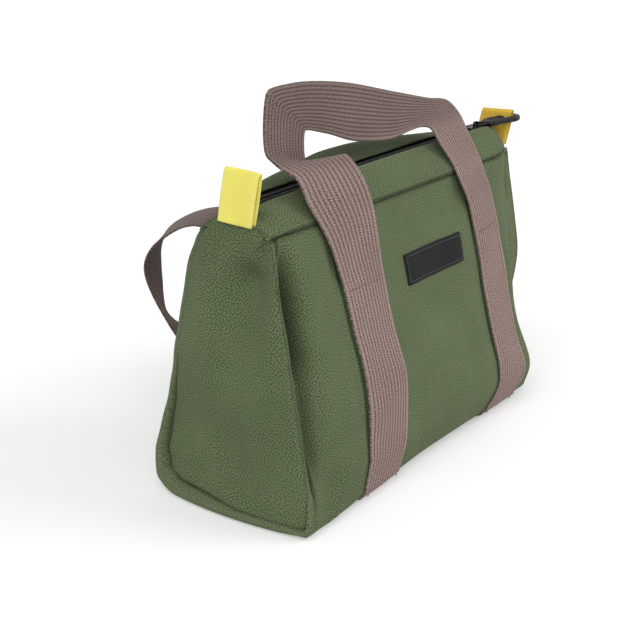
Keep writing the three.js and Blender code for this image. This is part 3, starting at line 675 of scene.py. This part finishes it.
def gusset(name, end):
    rows = np.concatenate([np.linspace(0, 1, 14)[:-1], np.linspace(1, station(SEAM_Z - 1.5), 64)])
    across = np.linspace(-1, 1, 65)
    front, back = (wrap_at(c, end * end_seam(c), -end_roll(c) - UNDER_WRAP)[:, None] for c in (2 - rows, 3 + rows))
    share = (across[None, :, None] + 1) / 2
    points = front * (1 - share) + back * share
    top = lip_height(end * GUSSET_X, points[-1, :, 1]) - UNDER_LIP - points[-1, :, 2]
    points[..., 2] += top[None, :] * np.clip(rows - 1, 0, 1)[:, None] ** 2
    y, z = points[..., 1], points[..., 2]
    inside = 1 - across[None, :] ** 2
    rim = np.minimum(1, 5 * inside) * smooth(rows, 0.0, 0.7)[:, None] * (1 - smooth(z, 180, 190))
    bulge = 7.5 * inside**0.6 * np.sin(math.pi * np.clip(rows / 2.0, 0, 1))[:, None] ** 0.8
    shape = left_dents(y, z) if end < 0 else right_dents(y, z)
    tilt = -5.0 * smooth(z, 158, 196) * hump(y, -3, 24)
    points[..., 0] += end * (bulge + shape * rim + tilt)
    points = settle(points)
    # painted shade: a dark patch in the dent below the top front corner and a dark line along the small tuck
    dy, dz = y - TUCK_Y, z - TUCK_Z
    tuck = hump((8 * dy + 9 * dz) / 12, 0, 1.8) * hump((9 * dy - 8 * dz) / 12, 0, 8)
    painted_shade = 0.4 * hump(y, -20, 12) * hump(z, 169, 9) + 0.6 * tuck
    if end < 0:
        points, painted_shade = points[:, ::-1], painted_shade[:, ::-1]
    return cloth(name, points, CANVAS, CANVAS_LOOK, share=0.0, painted_shade=painted_shade)


left_gusset = gusset("left_end_panel", -1)
right_gusset = gusset("right_end_panel", 1)


# Lips

LIP_REACH = 170.4  # a lip's outer end reaches past the end panel and turns down
HEM = 7.0  # seam allowance inside the wall, at v from -1 to 0


def ridge(x, top=RIDGE_Z):
    bow = 1.0 * (1 - np.clip(np.abs(x) / DROP_X, 0, 1) ** 2)
    return top + bow - RIDGE_DROP * smooth(np.abs(x), DROP_X, LIP_END)


def lip_at(side, x, v, out):
    """A point of a lip, at v from 0 at the seam to 1 at the zip."""
    seam = np.stack([seam_half(x) * np.ones_like(v), SEAM_Z * np.ones_like(x * v)], -1)
    top = np.stack([RIDGE_GAP / 2 * np.ones_like(x * v), ridge(x) * np.ones_like(v)], -1)
    along = top - seam
    normal = unit(np.stack([along[..., 1], -along[..., 0]], -1))
    place = seam + along * np.maximum(v, 0)[..., None] + normal * np.asarray(out)[..., None]
    return np.stack([x * np.ones_like(v), side * place[..., 0], place[..., 1]], -1)


def rear_stand(x):
    """How far the rear lip stands up out of its slope, over the stretch that opens."""
    share = np.clip((x - LIP_OPEN[0]) / (LIP_OPEN[1] - LIP_OPEN[0]), 0, 1)
    return 12.0 * np.sin(math.pi * share) ** 0.65 + 2.5 * hump(x, -25, 40)


def left_sag(x):
    """Where the front lip's edge sags, left of the handle."""
    return smooth(-x, 55, 120) * (1 - smooth(-x, 150, 166))


def lip_puff(side, x, v):
    tuck = -1.6 * (1 - smooth(v, 0.0, 0.1)) + HEM * np.minimum(v, 0) * (1 - smooth(np.abs(x), 132, 150))
    rise = np.sin(math.pi * np.clip(v, 0, 1))
    body = (2.0 if side < 0 else 0.5) * rise
    soft = 0.6 * waves(x, 60 * v, 21 if side < 0 else 22, 60) * rise
    edge = 1.6 * (1 - smooth(np.abs(x), 128, 150)) - 3.6 * left_sag(x)
    stand = rear_stand(x) * rise**0.9 if side > 0 else edge * smooth(v, 0.55, 1.0)
    ends = 1 - 0.6 * smooth(np.abs(x), 150, 166)
    return tuck + (body + soft) * ends + stand


def lip_surface(side, x, v, lift=0.0):
    points = lip_at(side, x, v, lip_puff(side, x, v) + lift)
    beyond = np.abs(x) - (LIP_REACH - 2.5)
    points[..., 0] += np.sign(x) * 3.6 * (1 - smooth(v, 0.05, 0.4)) * smooth(np.abs(x), 150, LIP_REACH)
    points[..., 2] -= 0.42 * np.clip(beyond, 0, None) ** 2
    return settle(points)


def lip(name, side, start, stop):
    xs = np.linspace(start, stop, max(12, int(abs(stop - start) / 3)))
    outer = LIP_REACH - np.array([2.6, 1.8, 1.1, 0.5, 0.0])
    xs = np.sort(np.concatenate([xs[np.abs(xs) < outer[0] - 0.5], outer * np.sign(stop + start)]))
    vs = np.concatenate([[-1.0, -0.6, -0.25], np.linspace(0, 0.14, 6)[:-1], np.linspace(0.14, 1.0, 20)])
    x, v = np.meshgrid(xs, vs, indexing="ij")
    points = lip_surface(side, x, v)
    wear = hump(v, 1.0, 0.06) * 0.5
    butt = len(xs) - 1 if stop == LIP_SPLIT else 0
    if side < 0:
        points, butt = points[::-1], len(xs) - 1 - butt
    # painted shade: dark along the seam at the lip's foot, and the whole rear lip darker by 0.3, the front one by 0.05
    painted_shade = np.maximum(0.05 if side < 0 else 0.3, 1 - smooth(v, 0.0, 0.07))
    return cloth(name, points, CANVAS, CANVAS_LOOK, share=0.0, wear=wear, butt=butt, painted_shade=painted_shade)


# Zip

TEETH_INNER = 1.2
TEETH_OUTER = 3.6
TOOTH_PITCH = 3.0
TAPE = 0.7
TAPE_EDGE = 12.0  # the tape's outer edge, under the lip


def zip_tape(name, side, start, stop):
    xs = np.linspace(start, stop, max(8, int(abs(stop - start) / 4)))[:, None]
    inner = TEETH_OUTER - 0.6 - (TEETH_OUTER - 0.9) * smooth(np.abs(xs), 150, 156)
    share = np.linspace(0, 1, 8)
    x = xs * np.ones_like(share)
    y = inner + (TAPE_EDGE - inner) * share
    slope = (SEAM_Z - ridge(x)) / (seam_half(x) - RIDGE_GAP / 2)
    z = ridge(x, ZIP_Z) + np.maximum(y - RIDGE_GAP / 2, 0) * slope - 0.25 * smooth(y, 6.5, 8.5)
    z = z - 2.2 * left_sag(x) * smooth(y, 5.8, 8.0) * (side < 0)
    points = settle(np.stack([x, side * y, z], -1))
    return cloth(name, points[::side], TAPE, TAPE_LOOK)


# Cross section of a tooth, and its reach and size from the tape's edge to its tip
TOOTH_SHAPE = (
    (-0.8, -0.55), (-0.55, -1.05), (0.55, -1.05), (0.8, -0.55), (0.8, 0.55), (0.55, 1.05), (-0.55, 1.05), (-0.8, 0.55)
)
TOOTH_RINGS = (TEETH_OUTER + 0.5, 0.85), (TEETH_OUTER, 1.0), (2.6, 1.0), (1.6, 0.72), (TEETH_INNER, 0.5)


def teeth_row(name, side, start, stop):
    """Moulded teeth: eight-sided blocks that grip the tape's edge and narrow to their tips."""
    verts, faces = [], []
    for x in np.arange(start, stop, TOOTH_PITCH) + (TOOTH_PITCH / 2 if side > 0 else 0):
        faces += ring_faces(len(TOOTH_RINGS), len(TOOTH_SHAPE), len(verts), flip=side < 0)
        middle = ridge(x, ZIP_Z)
        for y, grow in TOOTH_RINGS:
            verts += [(x + dx * grow, side * y, middle + dz * grow) for dx, dz in TOOTH_SHAPE]
    obj = mesh_object(name, verts, faces, TEETH_LOOK, [(0, 0)] * len(verts))
    obj.data.polygons.foreach_set("use_smooth", [False] * len(obj.data.polygons))
    return obj


ZIP_REACH = 149.0
TAPE_REACH = 166.5
STOP_RINGS = (-1.5, 0.75), (-1.2, 1.0), (1.2, 1.0), (1.7, 0.7)
STOP_SIDES = 16
STOP_X = 147.7
STOP_HALF = 2.0, 3.8
stop_verts, stop_faces = [], []
for middle in (-STOP_X, STOP_X):
    stop_faces += ring_faces(len(STOP_RINGS), STOP_SIDES, len(stop_verts))
    for z, grow in STOP_RINGS:
        for a in turns(STOP_SIDES, 0.5):
            x, y = squared(math.cos(a), 0.5), squared(math.sin(a), 0.5)
            stop_verts.append((middle + STOP_HALF[0] * grow * x, STOP_HALF[1] * grow * y, ZIP_Z + z))
zip_stops = mesh_object("zip_stops", stop_verts, stop_faces, TEETH_LOOK, [(0, 0)] * len(stop_verts))


# Webbing

def spline(points):
    """A centripetal curve through points."""
    points = np.asarray(points, float)
    knots = np.concatenate([[0], np.cumsum(np.linalg.norm(np.diff(points, axis=0), axis=1) ** 0.5)])
    padded = np.concatenate([[2 * points[0] - points[1]], points, [2 * points[-1] - points[-2]]])
    times = np.concatenate([[2 * knots[0] - knots[1]], knots, [2 * knots[-1] - knots[-2]]])
    dense = []
    for k in range(1, len(padded) - 2):
        t = np.linspace(times[k], times[k + 1], 60, endpoint=False)[:, None]

        def between(i, j, a, b):
            return ((times[j] - t) * a + (t - times[i]) * b) / (times[j] - times[i])

        near, mid, far = (between(i, i + 1, padded[i], padded[i + 1]) for i in (k - 1, k, k + 1))
        dense.append(between(k, k + 1, between(k - 1, k + 1, near, mid), between(k, k + 2, mid, far)))
    return np.concatenate([*dense, padded[-2:-1]])


STITCH_INSET = 3.2
PRESSED = 0.35
edge_steps = np.array([0.0, 0.8, 2.0, STITCH_INSET, 4.4, 6.0, 9.0, 12.5, 16.5])
ACROSS = np.concatenate([edge_steps, [WEB_WIDTH / 2], WEB_WIDTH - edge_steps[::-1]]) / WEB_WIDTH
WEB_X = (ACROSS - 0.5) * WEB_WIDTH
STRAP_OUT = SEWN + WEBBING / 2


def paired_band(pairs, step):
    """A band between two edge curves, sampled about every step. A pair is a point of each edge, as six numbers."""
    dense = spline(pairs)
    run = run_along((dense[:, :3] + dense[:, 3:]) / 2)
    at = np.linspace(0, run[-1], int(run[-1] / step) + 1)
    edges = np.stack([np.interp(at, run, dense[:, k]) for k in range(6)], -1)[:, None]
    share = ACROSS[None, :, None]
    return edges[..., :3] * (1 - share) + edges[..., 3:] * share


def sewn_leg(side, x, stations):
    xs = x + WEB_X[None, :] + foot_lean(side, x, stations)[:, None]
    pressed = PRESSED * hump((0.5 - np.abs(ACROSS - 0.5)) * WEB_WIDTH, STITCH_INSET, 0.9)
    return wall_surface(side, xs, stations[:, None] * np.ones_like(xs), STRAP_OUT - pressed[None, :])


LEG_STATIONS = np.concatenate([np.linspace(0, 1, 12)[:-1], np.linspace(1, station(STITCH_Z), 44)])
front_left_leg = sewn_leg(-1, -LEG_X, LEG_STATIONS)
front_right_leg = sewn_leg(-1, LEG_X, LEG_STATIONS)[:, ::-1]

# Outer and inner edges of the front loop, from the left stitch line to the right one
front_pairs = [
    (*front_left_leg[-1, 0], *front_left_leg[-1, -1]),
    (-111, -42, 160, -66, -44, 162),
    (-118, -38.5, 180, -71, -42, 190),
    (-126.8, -31.5, 201, -76.8, -38, 210),
    (-122.8, -19, 215, -69.8, -23, 219),
    (-124, -8, 220, -60, -10, 218),
    (-130, -5, 226, -70, -2, 214),
    (-133, -3, 231, -84, 1, 214),
    (-132, -1, 239, -88, 1, 221),
    (-128, 2, 251, -86, 3, 230),
    (-123, 4.5, 262, -84, 4, 235),
    (-120, 5, 267, -83, 4, 236.5),
    (-114, 5.5, 268, -80, 3.5, 236.5),
    (-100, 6.5, 268, -74, 3, 235),
    (-78, 6.5, 267, -60, 1, 231),
    (-32, 6.5, 260, -36, -3, 223),
    (22, 4, 247, 2, -7, 218),
    (64, 1, 237, 28, -8, 220),
    (87, -3, 232, 43, -9.5, 220.5),
    (95, -8.5, 222, 46, -14, 219),
    (93, -17, 210.5, 47.5, -21, 208.5),
    (86, -28.5, 200, 47, -32.5, 195),
    (85, -36.5, 186, 47.5, -39, 183),
    (97, -35.5, 166, 58, -40.5, 165.5),
    (*front_right_leg[-1, 0], *front_right_leg[-1, -1]),
]


def off_canvas(points):
    """Webbing that comes free of its stitches still lies outside the front wall."""
    x, z = points[..., 0], points[..., 2]
    lift = 0.4 + 1.4 * window(z, 158, 186, 12)
    skin = wall_surface(-1, x, station(np.minimum(z, SEAM_Z)), STRAP_OUT + lift)[..., 1]
    reach = skin + 40.0 * smooth(z, SEAM_Z - 4, SEAM_Z + 26)
    return np.stack([x, np.minimum(points[..., 1], reach), z], -1)


def band(name, points, painted_shade=None):
    uvs = np.stack(np.meshgrid(ACROSS * WEB_WIDTH, mean_run(points)), -1)
    wear = np.tile(0.55 * np.abs(2 * ACROSS - 1) ** 14, (len(points), 1))
    return cloth(name, points, WEBBING, WEBBING_LOOK, wear=wear, uvs=uvs, painted_shade=painted_shade)


def cut_length(points):
    """Length of a band of webbing along its middle, in metres."""
    return float(mean_run(points)[-1]) * MM


front_free = off_canvas(paired_band(front_pairs, 2.6))
front_points = np.concatenate([front_left_leg, front_free[1:-1], front_right_leg[::-1]])[:, ::-1]
# painted shade: the free run of the handle above the bag is painted darker
handle_run_shade = 0.25 * smooth(front_points[..., 2], 188, 204) + 0.75 * smooth(front_points[..., 2], 214, 226)
front_webbing = band("front_webbing", front_points, painted_shade=handle_run_shade)

# Rear webbing, split halfway along its roots
REAR_ARCH = [(0, 0), (0.172, 0.184), (0.402, 0.31), (0.69, 0.264), (0.92, 0.046)]
REAR_REACH = 87.0
ROOT_SPLIT = 23.0

back_left_leg = sewn_leg(1, -LEG_X, LEG_STATIONS)
back_right_leg = sewn_leg(1, LEG_X, LEG_STATIONS)
_, stitch_y, stitch_z = back_left_leg[-1, 6]
rear_profile = spline([(0, stitch_y + REAR_REACH * a, stitch_z + REAR_REACH * b) for a, b in REAR_ARCH])
rear_run = run_along(rear_profile)


def rear_at(x, s):
    y = np.interp(s, rear_run, rear_profile[:, 1])
    z = np.interp(s, rear_run, rear_profile[:, 2])
    return np.stack([x * np.ones_like(y), y, z], -1)


def root_pair(x, s):
    """Outer and inner edge of a root, at s along it."""
    half = math.copysign(WEB_WIDTH / 2, x)
    return *rear_at(x + half, s), *rear_at(x - half, s)


# Outer and inner edges of the rear loop, which hangs askew with its left leg twisted
rear_pairs = [
    root_pair(-LEG_X, ROOT_SPLIT),
    root_pair(-LEG_X, ROOT_SPLIT + 7),
    (-106, 78, 165.5, -65, 81, 168.5),
    (-106, 89, 163.5, -68, 97, 167),
    (-106, 99, 159, -71, 116, 160),
    (-106, 110, 152, -74, 134, 148),
    (-107, 121, 143, -75, 142.5, 134),
    (-108, 128, 131, -76, 143, 119),
    (-108, 128, 120, -76, 142.5, 106),
    (-108, 121, 106, -76, 142, 93),
    (-108, 112, 94, -76, 139, 82),
    (-107, 102, 81, -73, 129, 74),
    (-101, 92, 66, -66, 116, 74),
    (-84, 86, 55, -54, 107, 81),
    (-60, 86, 54, -44, 107, 87),
    (-30, 89, 59, -22, 110, 93),
    (10, 94, 66, 12, 114, 101),
    (50, 100, 74, 42, 119, 110),
    (80, 106, 84, 58, 123, 118),
    (97, 114, 98, 62, 124, 126),
    (105, 122, 118, 63, 124, 134),
    (106, 125, 134, 64, 122, 143),
    (106, 119, 151, 64, 114, 156),
    (106, 103, 164.5, 64, 101, 166),
    (106, 87, 169, 64, 87, 169),
    root_pair(LEG_X, ROOT_SPLIT + 7),
    root_pair(LEG_X, ROOT_SPLIT),
]
rear_points = paired_band(rear_pairs, 2.8)[:, ::-1]
# painted shade: the twisted left leg and the left part of the loop are painted darker
rear_loop = band("rear_handle_loop", rear_points, painted_shade=1 - smooth(rear_points[..., 0], -85, -40))


def rear_leg(name, leg, x):
    root = np.array([rear_at(x + WEB_X, s * np.ones_like(WEB_X)) for s in np.linspace(0.8, ROOT_SPLIT, 12)])
    return band(name, np.concatenate([leg, root]))


rear_left = rear_leg("back_left_webbing_leg", back_left_leg, -LEG_X)
rear_right = rear_leg("back_right_webbing_leg", back_right_leg, LEG_X)


def base_band(name, x):
    reach = float(corner_y(np.array(x))) + 0.5
    gx, gy = np.meshgrid(x + WEB_X, np.linspace(-reach, reach, 40))
    gx = gx + foot_lean(-1, x, np.zeros_like(gy)) * (1 - smooth(gy, -reach, reach))
    return band(name, np.stack([gx, gy, np.full_like(gx, WEBBING / 2)], -1)[:, ::-1])


base_left, base_right = (base_band(f"base_{hand}_webbing_band", half * LEG_X) for half, hand in HALVES)


# Label patch

LABEL_WIDTH, LABEL_HEIGHT = 73.0, 21.0
LABEL_THICK = 0.9
LABEL_Z = 138.0
LABEL_LEAN = math.radians(11)


def label_station(z):
    return station(LABEL_Z + z * math.cos(LABEL_LEAN))


label_x, label_z = np.meshgrid(
    np.linspace(-LABEL_WIDTH / 2, LABEL_WIDTH / 2, 40), np.linspace(-LABEL_HEIGHT / 2, LABEL_HEIGHT / 2, 16)
)
label_points = wall_surface(-1, label_x, label_station(label_z), SEWN + 0.5)
label = cloth("label_patch_cloth", label_points, LABEL_THICK, LABEL_LOOK)


# Tabs

TAB_HALF = 13.0
TAB_THICK = 1.3
TAB_GAP, TAB_FOLD = 1.75, 2.6  # from a tab's middle to its sides, and the height of its fold


def tab(name, foot, top, tilt, look, end):
    """Folded webbing sewn in at the top of an end panel. foot and top are the middles of its ends, and tilt is how
    far one corner of its fold stands above the middle."""
    rise = np.linspace(0, 1, 20)
    bow = TAB_GAP + 0.5 * np.sin(math.pi * rise) ** 2 * (0.3 + rise)
    turn = np.linspace(0, math.pi, 12)[1:-1]
    sides = np.concatenate([-bow, -TAB_GAP * np.cos(turn), bow[::-1]])[:, None]
    tall = top[2] - foot[2]
    heights = (tall - TAB_FOLD) * np.concatenate([rise, np.ones_like(turn), rise[::-1]])
    heights[len(rise):len(rise) + len(turn)] += TAB_FOLD * np.sin(turn)
    share = (heights / tall)[:, None]
    across = np.linspace(-TAB_HALF, TAB_HALF, 13)[None, :]
    curl = 0.8 * (across / TAB_HALF) ** 2 * share
    points = np.stack([
        foot[0] + (top[0] - foot[0]) * share - end * sides + end * curl,
        foot[1] + (top[1] - foot[1]) * share + across,
        foot[2] + heights[:, None] - tilt * across / TAB_HALF,
    ], -1)
    if end > 0:
        points = points[:, ::-1]
    uvs = np.stack(np.meshgrid(across[0] + TAB_HALF, mean_run(points)), -1)
    wear = 0.5 * np.abs(across / TAB_HALF) ** 8 * np.ones_like(share)
    return cloth(name, points, TAB_THICK, look, uvs=uvs, wear=wear)


left_tab = tab("left_tab_webbing", (-166.0, -5.5, 194.0), (-163.0, -10.0, 227.0), -0.5, YELLOW_LOOK, end=-1)
right_tab = tab("right_tab_webbing", (162.0, 0.0, 187.0), (163.0, -5.0, 214.5), 0.5, AMBER_LOOK, end=1)


# Stitch rows

def raised(surface, under, over):
    """A line standing over a surface, with its normals."""
    inner, outer = surface(under), surface(over)
    return outer, unit(outer - inner)


def wall_line(side, x, s, under, over):
    return raised(lambda out: wall_surface(side, x, s, out), under, over)


def leg_lines(side, x):
    inset, last = WEB_WIDTH / 2 - STITCH_INSET, station(STITCH_Z) - 0.006
    s = np.linspace(0.5, last, 160)
    over = STRAP_OUT + WEBBING / 2
    lines = [wall_line(side, x + k + foot_lean(side, x, s), s, STRAP_OUT, over - PRESSED) for k in (-inset, inset)]
    across = np.linspace(-inset, inset, 40)
    return lines + [wall_line(side, x + across, np.full_like(across, last), STRAP_OUT, over)]


def label_lines():
    w, h = LABEL_WIDTH / 2 - 1.8, LABEL_HEIGHT / 2 - 1.8
    corners = [(-w, -h), (w, -h), (w, h), (-w, h), (-w, -h)]
    for (x0, z0), (x1, z1) in zip(corners[:-1], corners[1:]):
        x, z = np.linspace(x0, x1, 60), np.linspace(z0, z1, 60)
        yield wall_line(-1, x, label_station(z), SEWN, SEWN + 0.98)


def lip_line(side, start, stop, v):
    xs = np.linspace(start, stop, 200)
    return raised(lambda lift: lip_surface(side, xs, np.full_like(xs, v), lift), -1.0, 0.0)


front_strap_thread = stitches("front_strap_stitches", leg_lines(-1, -LEG_X) + leg_lines(-1, LEG_X), MAUVE_THREAD)
back_strap_thread = stitches("back_strap_stitches", leg_lines(1, -LEG_X) + leg_lines(1, LEG_X), MAUVE_THREAD)
label_thread = stitches("label_stitches", label_lines(), BLACK_THREAD, pitch=2.2, length=1.6, radius=0.3)


# Slider keeps its solid, and the puller gets a ribbed moulded grip

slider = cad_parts["zip_slider"]
slider.data.materials.clear()
slider.data.materials.append(ENAMEL_LOOK)
soften = slider.modifiers.new("soften", "BEVEL")
soften.width = 0.00025
soften.segments = 2
soften.limit_method = "ANGLE"
soften.angle_limit = math.radians(35)

PULLER_ROOT = np.array([137.3, 0.0, 205.6])
PULLER_YAW, PULLER_TILT = math.radians(32), math.radians(6)
puller_along = np.array([
    math.cos(PULLER_YAW) * math.cos(PULLER_TILT), -math.sin(PULLER_YAW) * math.cos(PULLER_TILT), math.sin(PULLER_TILT),
])
puller_side = np.array([math.sin(PULLER_YAW), math.cos(PULLER_YAW), 0.0])
puller_up = np.cross(puller_along, puller_side)
RIB_PITCH = 2.6
TUBE_SIDES = 14


def loop_path(near, far, half, radius):
    """A closed loop in the puller's plane, from near to far along it, with rounded corners."""
    path = []
    ends, side = (far - radius, near + radius), half - radius
    for k, (d, w) in enumerate(((ends[0], side), (ends[1], side), (ends[1], -side), (ends[0], -side))):
        for a in np.linspace(0, math.pi / 2, 8) + k * math.pi / 2:
            path.append((d + radius * math.cos(a), w + radius * math.sin(a)))
    path = np.array(path + path[:1])
    run = run_along(path)
    at = np.linspace(0, run[-1], int(run[-1] / 0.6) + 1)[:-1]
    return np.stack([np.interp(at, run, path[:, k]) for k in range(2)], -1)


def closed_tube(path, wide, high, rib, first):
    """A rounded tube along a closed loop in the puller's plane, with ribs across its straight stretches."""
    ahead = np.roll(path, -1, axis=0) - np.roll(path, 1, axis=0)
    out = unit(np.stack([ahead[:, 1], -ahead[:, 0]], -1))
    swell = 1 + rib * np.sin(2 * math.pi * path[:, 0] / RIB_PITCH) * np.abs(out[:, 1]) ** 4
    verts = []
    for (d, w), (od, ow), grow in zip(path, out, swell):
        for a in turns(TUBE_SIDES):
            c, s = squared(math.cos(a), 0.75) * wide * grow, squared(math.sin(a), 0.75) * high * grow
            verts.append(PULLER_ROOT + (d + od * c) * puller_along + (w + ow * c) * puller_side + s * puller_up)
    return verts, ring_faces(len(path), TUBE_SIDES, first, closed=True, flip=True)


eye_verts, eye_faces = closed_tube(
    loop_path(near=0.0, far=9.0, half=3.5, radius=1.0), wide=0.9, high=0.95, rib=0.0, first=0
)
grip_verts, grip_faces = closed_tube(
    loop_path(near=8.8, far=36.0, half=4.6, radius=4.2), wide=2.7, high=2.3, rib=0.07, first=len(eye_verts)
)
puller = mesh_object("puller_loop", eye_verts + grip_verts, eye_faces + grip_faces, ENAMEL_LOOK)


# The pieces join the body they move with or are baked in place, and the solids they take the place of are hidden

for obj, slot, nodes in (
    (wrap, "canvas", ("front_panel", "base_panel", "back_panel")),
    (left_gusset, "canvas", ("left_gusset",)),
    (right_gusset, "canvas", ("right_gusset",)),
    (zip_stops, "zip_teeth", ("left_zip_end", "right_zip_end")),
    (label, "label", ("label_patch",)),
    (left_tab, "yellow_tab", ("left_tab",)),
    (right_tab, "amber_tab", ("right_tab",)),
    (base_left, "webbing", ("base_left_webbing",)),
    (base_right, "webbing", ("base_right_webbing",)),
    (front_strap_thread, "webbing", ()),
    (back_strap_thread, "webbing", ()),
    (label_thread, "label", ()),
):
    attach(obj, "bag")
    if nodes:
        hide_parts(*nodes)

# Each lip half, with its zip tape, teeth and stitches, is baked in place, and the solids it takes the place of are
# hidden
LIP_HOLD = {-1: (-0.152, -0.110), 1: (0.127, 0.072)}
LIP_STITCH_REACH = 160
for side, word in SIDES:
    for half, hand in HALVES:
        lip_ends, tape_ends, (zip_start, zip_stop), thread_ends = (
            (-far, LIP_SPLIT) if half < 0 else (LIP_SPLIT, far)
            for far in (LIP_REACH, TAPE_REACH, ZIP_REACH, LIP_STITCH_REACH)
        )
        flap = lip(f"{word}_lip_{hand}_half", side, *lip_ends)
        tape = zip_tape(f"{word}_zip_tape_{hand}_half", side, *tape_ends)
        teeth = teeth_row(f"{word}_zip_teeth_{hand}_half", side, zip_start + 1.2, zip_stop - 1.0)
        rows = [lip_line(side, *thread_ends, v) for v in (0.16, 0.93)]
        thread = stitches(f"{word}_lip_stitches_{hand}_half", rows, GREEN_THREAD, radius=0.34)
        start, end = ((x, side * SEAM_DEPTH / 2 * MM, 0.19) for x in LIP_HOLD[half])
        for obj, slot in ((flap, "canvas"), (tape, "zip_tape"), (teeth, "zip_teeth"), (thread, "canvas")):
            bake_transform(obj)
            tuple(start)
            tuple(end)
        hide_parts(f"{word}_lip", f"{word}_lip_{hand}_end")
        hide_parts(f"{word}_zip_tape")
        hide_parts(f"{word}_zip_teeth")

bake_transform(front_webbing)
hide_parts("front_left_webbing", "front_right_webbing", "front_handle")
for obj, hand in ((rear_left, "left"), (rear_right, "right")):
    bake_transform(obj)
    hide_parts(f"back_{hand}_webbing", f"rear_handle_{hand}_root")
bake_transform(rear_loop)
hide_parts("rear_handle")

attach(puller, "zip_puller")
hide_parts("zip_puller")

web = WEB_WIDTH * MM
for obj, flat, area, held, rests_on in (
    (wrap, (0.366, 0.505), None, "stretched", ["floor"]),
    (left_gusset, (0.130, 0.200), 0.0185, "stretched", ["canvas_wrap"]),
    (right_gusset, (0.080, 0.200), 0.0095, "stretched", ["canvas_wrap"]),
    (front_webbing, (web, cut_length(front_points)), None, "laid", ["canvas_wrap"]),
    (rear_left, (web, 0.173), None, "laid", ["canvas_wrap"]),
    (rear_right, (web, 0.173), None, "laid", ["canvas_wrap"]),
    (rear_loop, (web, cut_length(rear_points)), None, "hung", [rear_left, rear_right]),
    (base_left, (web, 0.083), None, "laid", ["canvas_wrap"]),
    (base_right, (web, 0.083), None, "laid", ["canvas_wrap"]),
    (label, (LABEL_WIDTH * MM, LABEL_HEIGHT * MM), None, "laid", ["canvas_wrap"]),
    (left_tab, (0.026, 0.075), None, "folded", [left_gusset]),
    (right_tab, (0.026, 0.056), None, "folded", [right_gusset]),
):
    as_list(rests_on)


# Camera, floor and light

scene = bpy.context.scene
YAW, PITCH = math.radians(54.15), math.radians(19.72)


def face(obj, direction):
    obj.rotation_mode = "QUATERNION"
    obj.rotation_quaternion = direction.to_track_quat("-Z", "Y")
    scene.collection.objects.link(obj)


camera = bpy.data.objects.new("camera", bpy.data.cameras.new("camera"))
camera.location = (-0.7509, -0.4908, 0.4037)
camera.data.sensor_width = 36.0
camera.data.lens = 72.68
face(camera, Vector((math.sin(YAW) * math.cos(PITCH), math.cos(YAW) * math.cos(PITCH), -math.sin(PITCH))))
scene.camera = camera

FLOOR_REACH = 30.0
floor_mesh = bpy.data.meshes.new("floor")
floor_corners = [(x * FLOOR_REACH, y * FLOOR_REACH, 0) for x, y in ((-1, -1), (1, -1), (1, 1), (-1, 1))]
floor_mesh.from_pydata(floor_corners, [], [(0, 1, 2, 3)])
floor = bpy.data.objects.new("floor", floor_mesh)
scene.collection.objects.link(floor)
paint = material("pale_floor")
glow = paint.times(paint.seen(), 0.32)
floor_mesh.materials.append(paint.finish(
    (0.80, 0.80, 0.80, 1), 0.95, Specular_IOR_Level=0.0, Emission_Color=(1, 1, 1, 1), Emission_Strength=glow
))

scene.world = bpy.data.worlds.new("studio")
air = Graph(scene.world)
background = air.tree.nodes["Background"].inputs
air.put(background["Color"], (1, 1, 1, 1))
air.put(background["Strength"], air.span(air.seen(), 0.0, 1.0, 0.5, 1.0))


def soft_sun(name, place, strength, angle):
    lamp = bpy.data.lights.new(name, "SUN")
    lamp.energy = strength
    lamp.angle = math.radians(angle)
    face(bpy.data.objects.new(name, lamp), -Vector(place))


soft_sun("key", (0.50, -0.70, 0.60), strength=1.05, angle=35)
soft_sun("fill", (-0.78, -0.25, 0.80), strength=1.12, angle=60)

scene.view_settings.view_transform = "Standard"
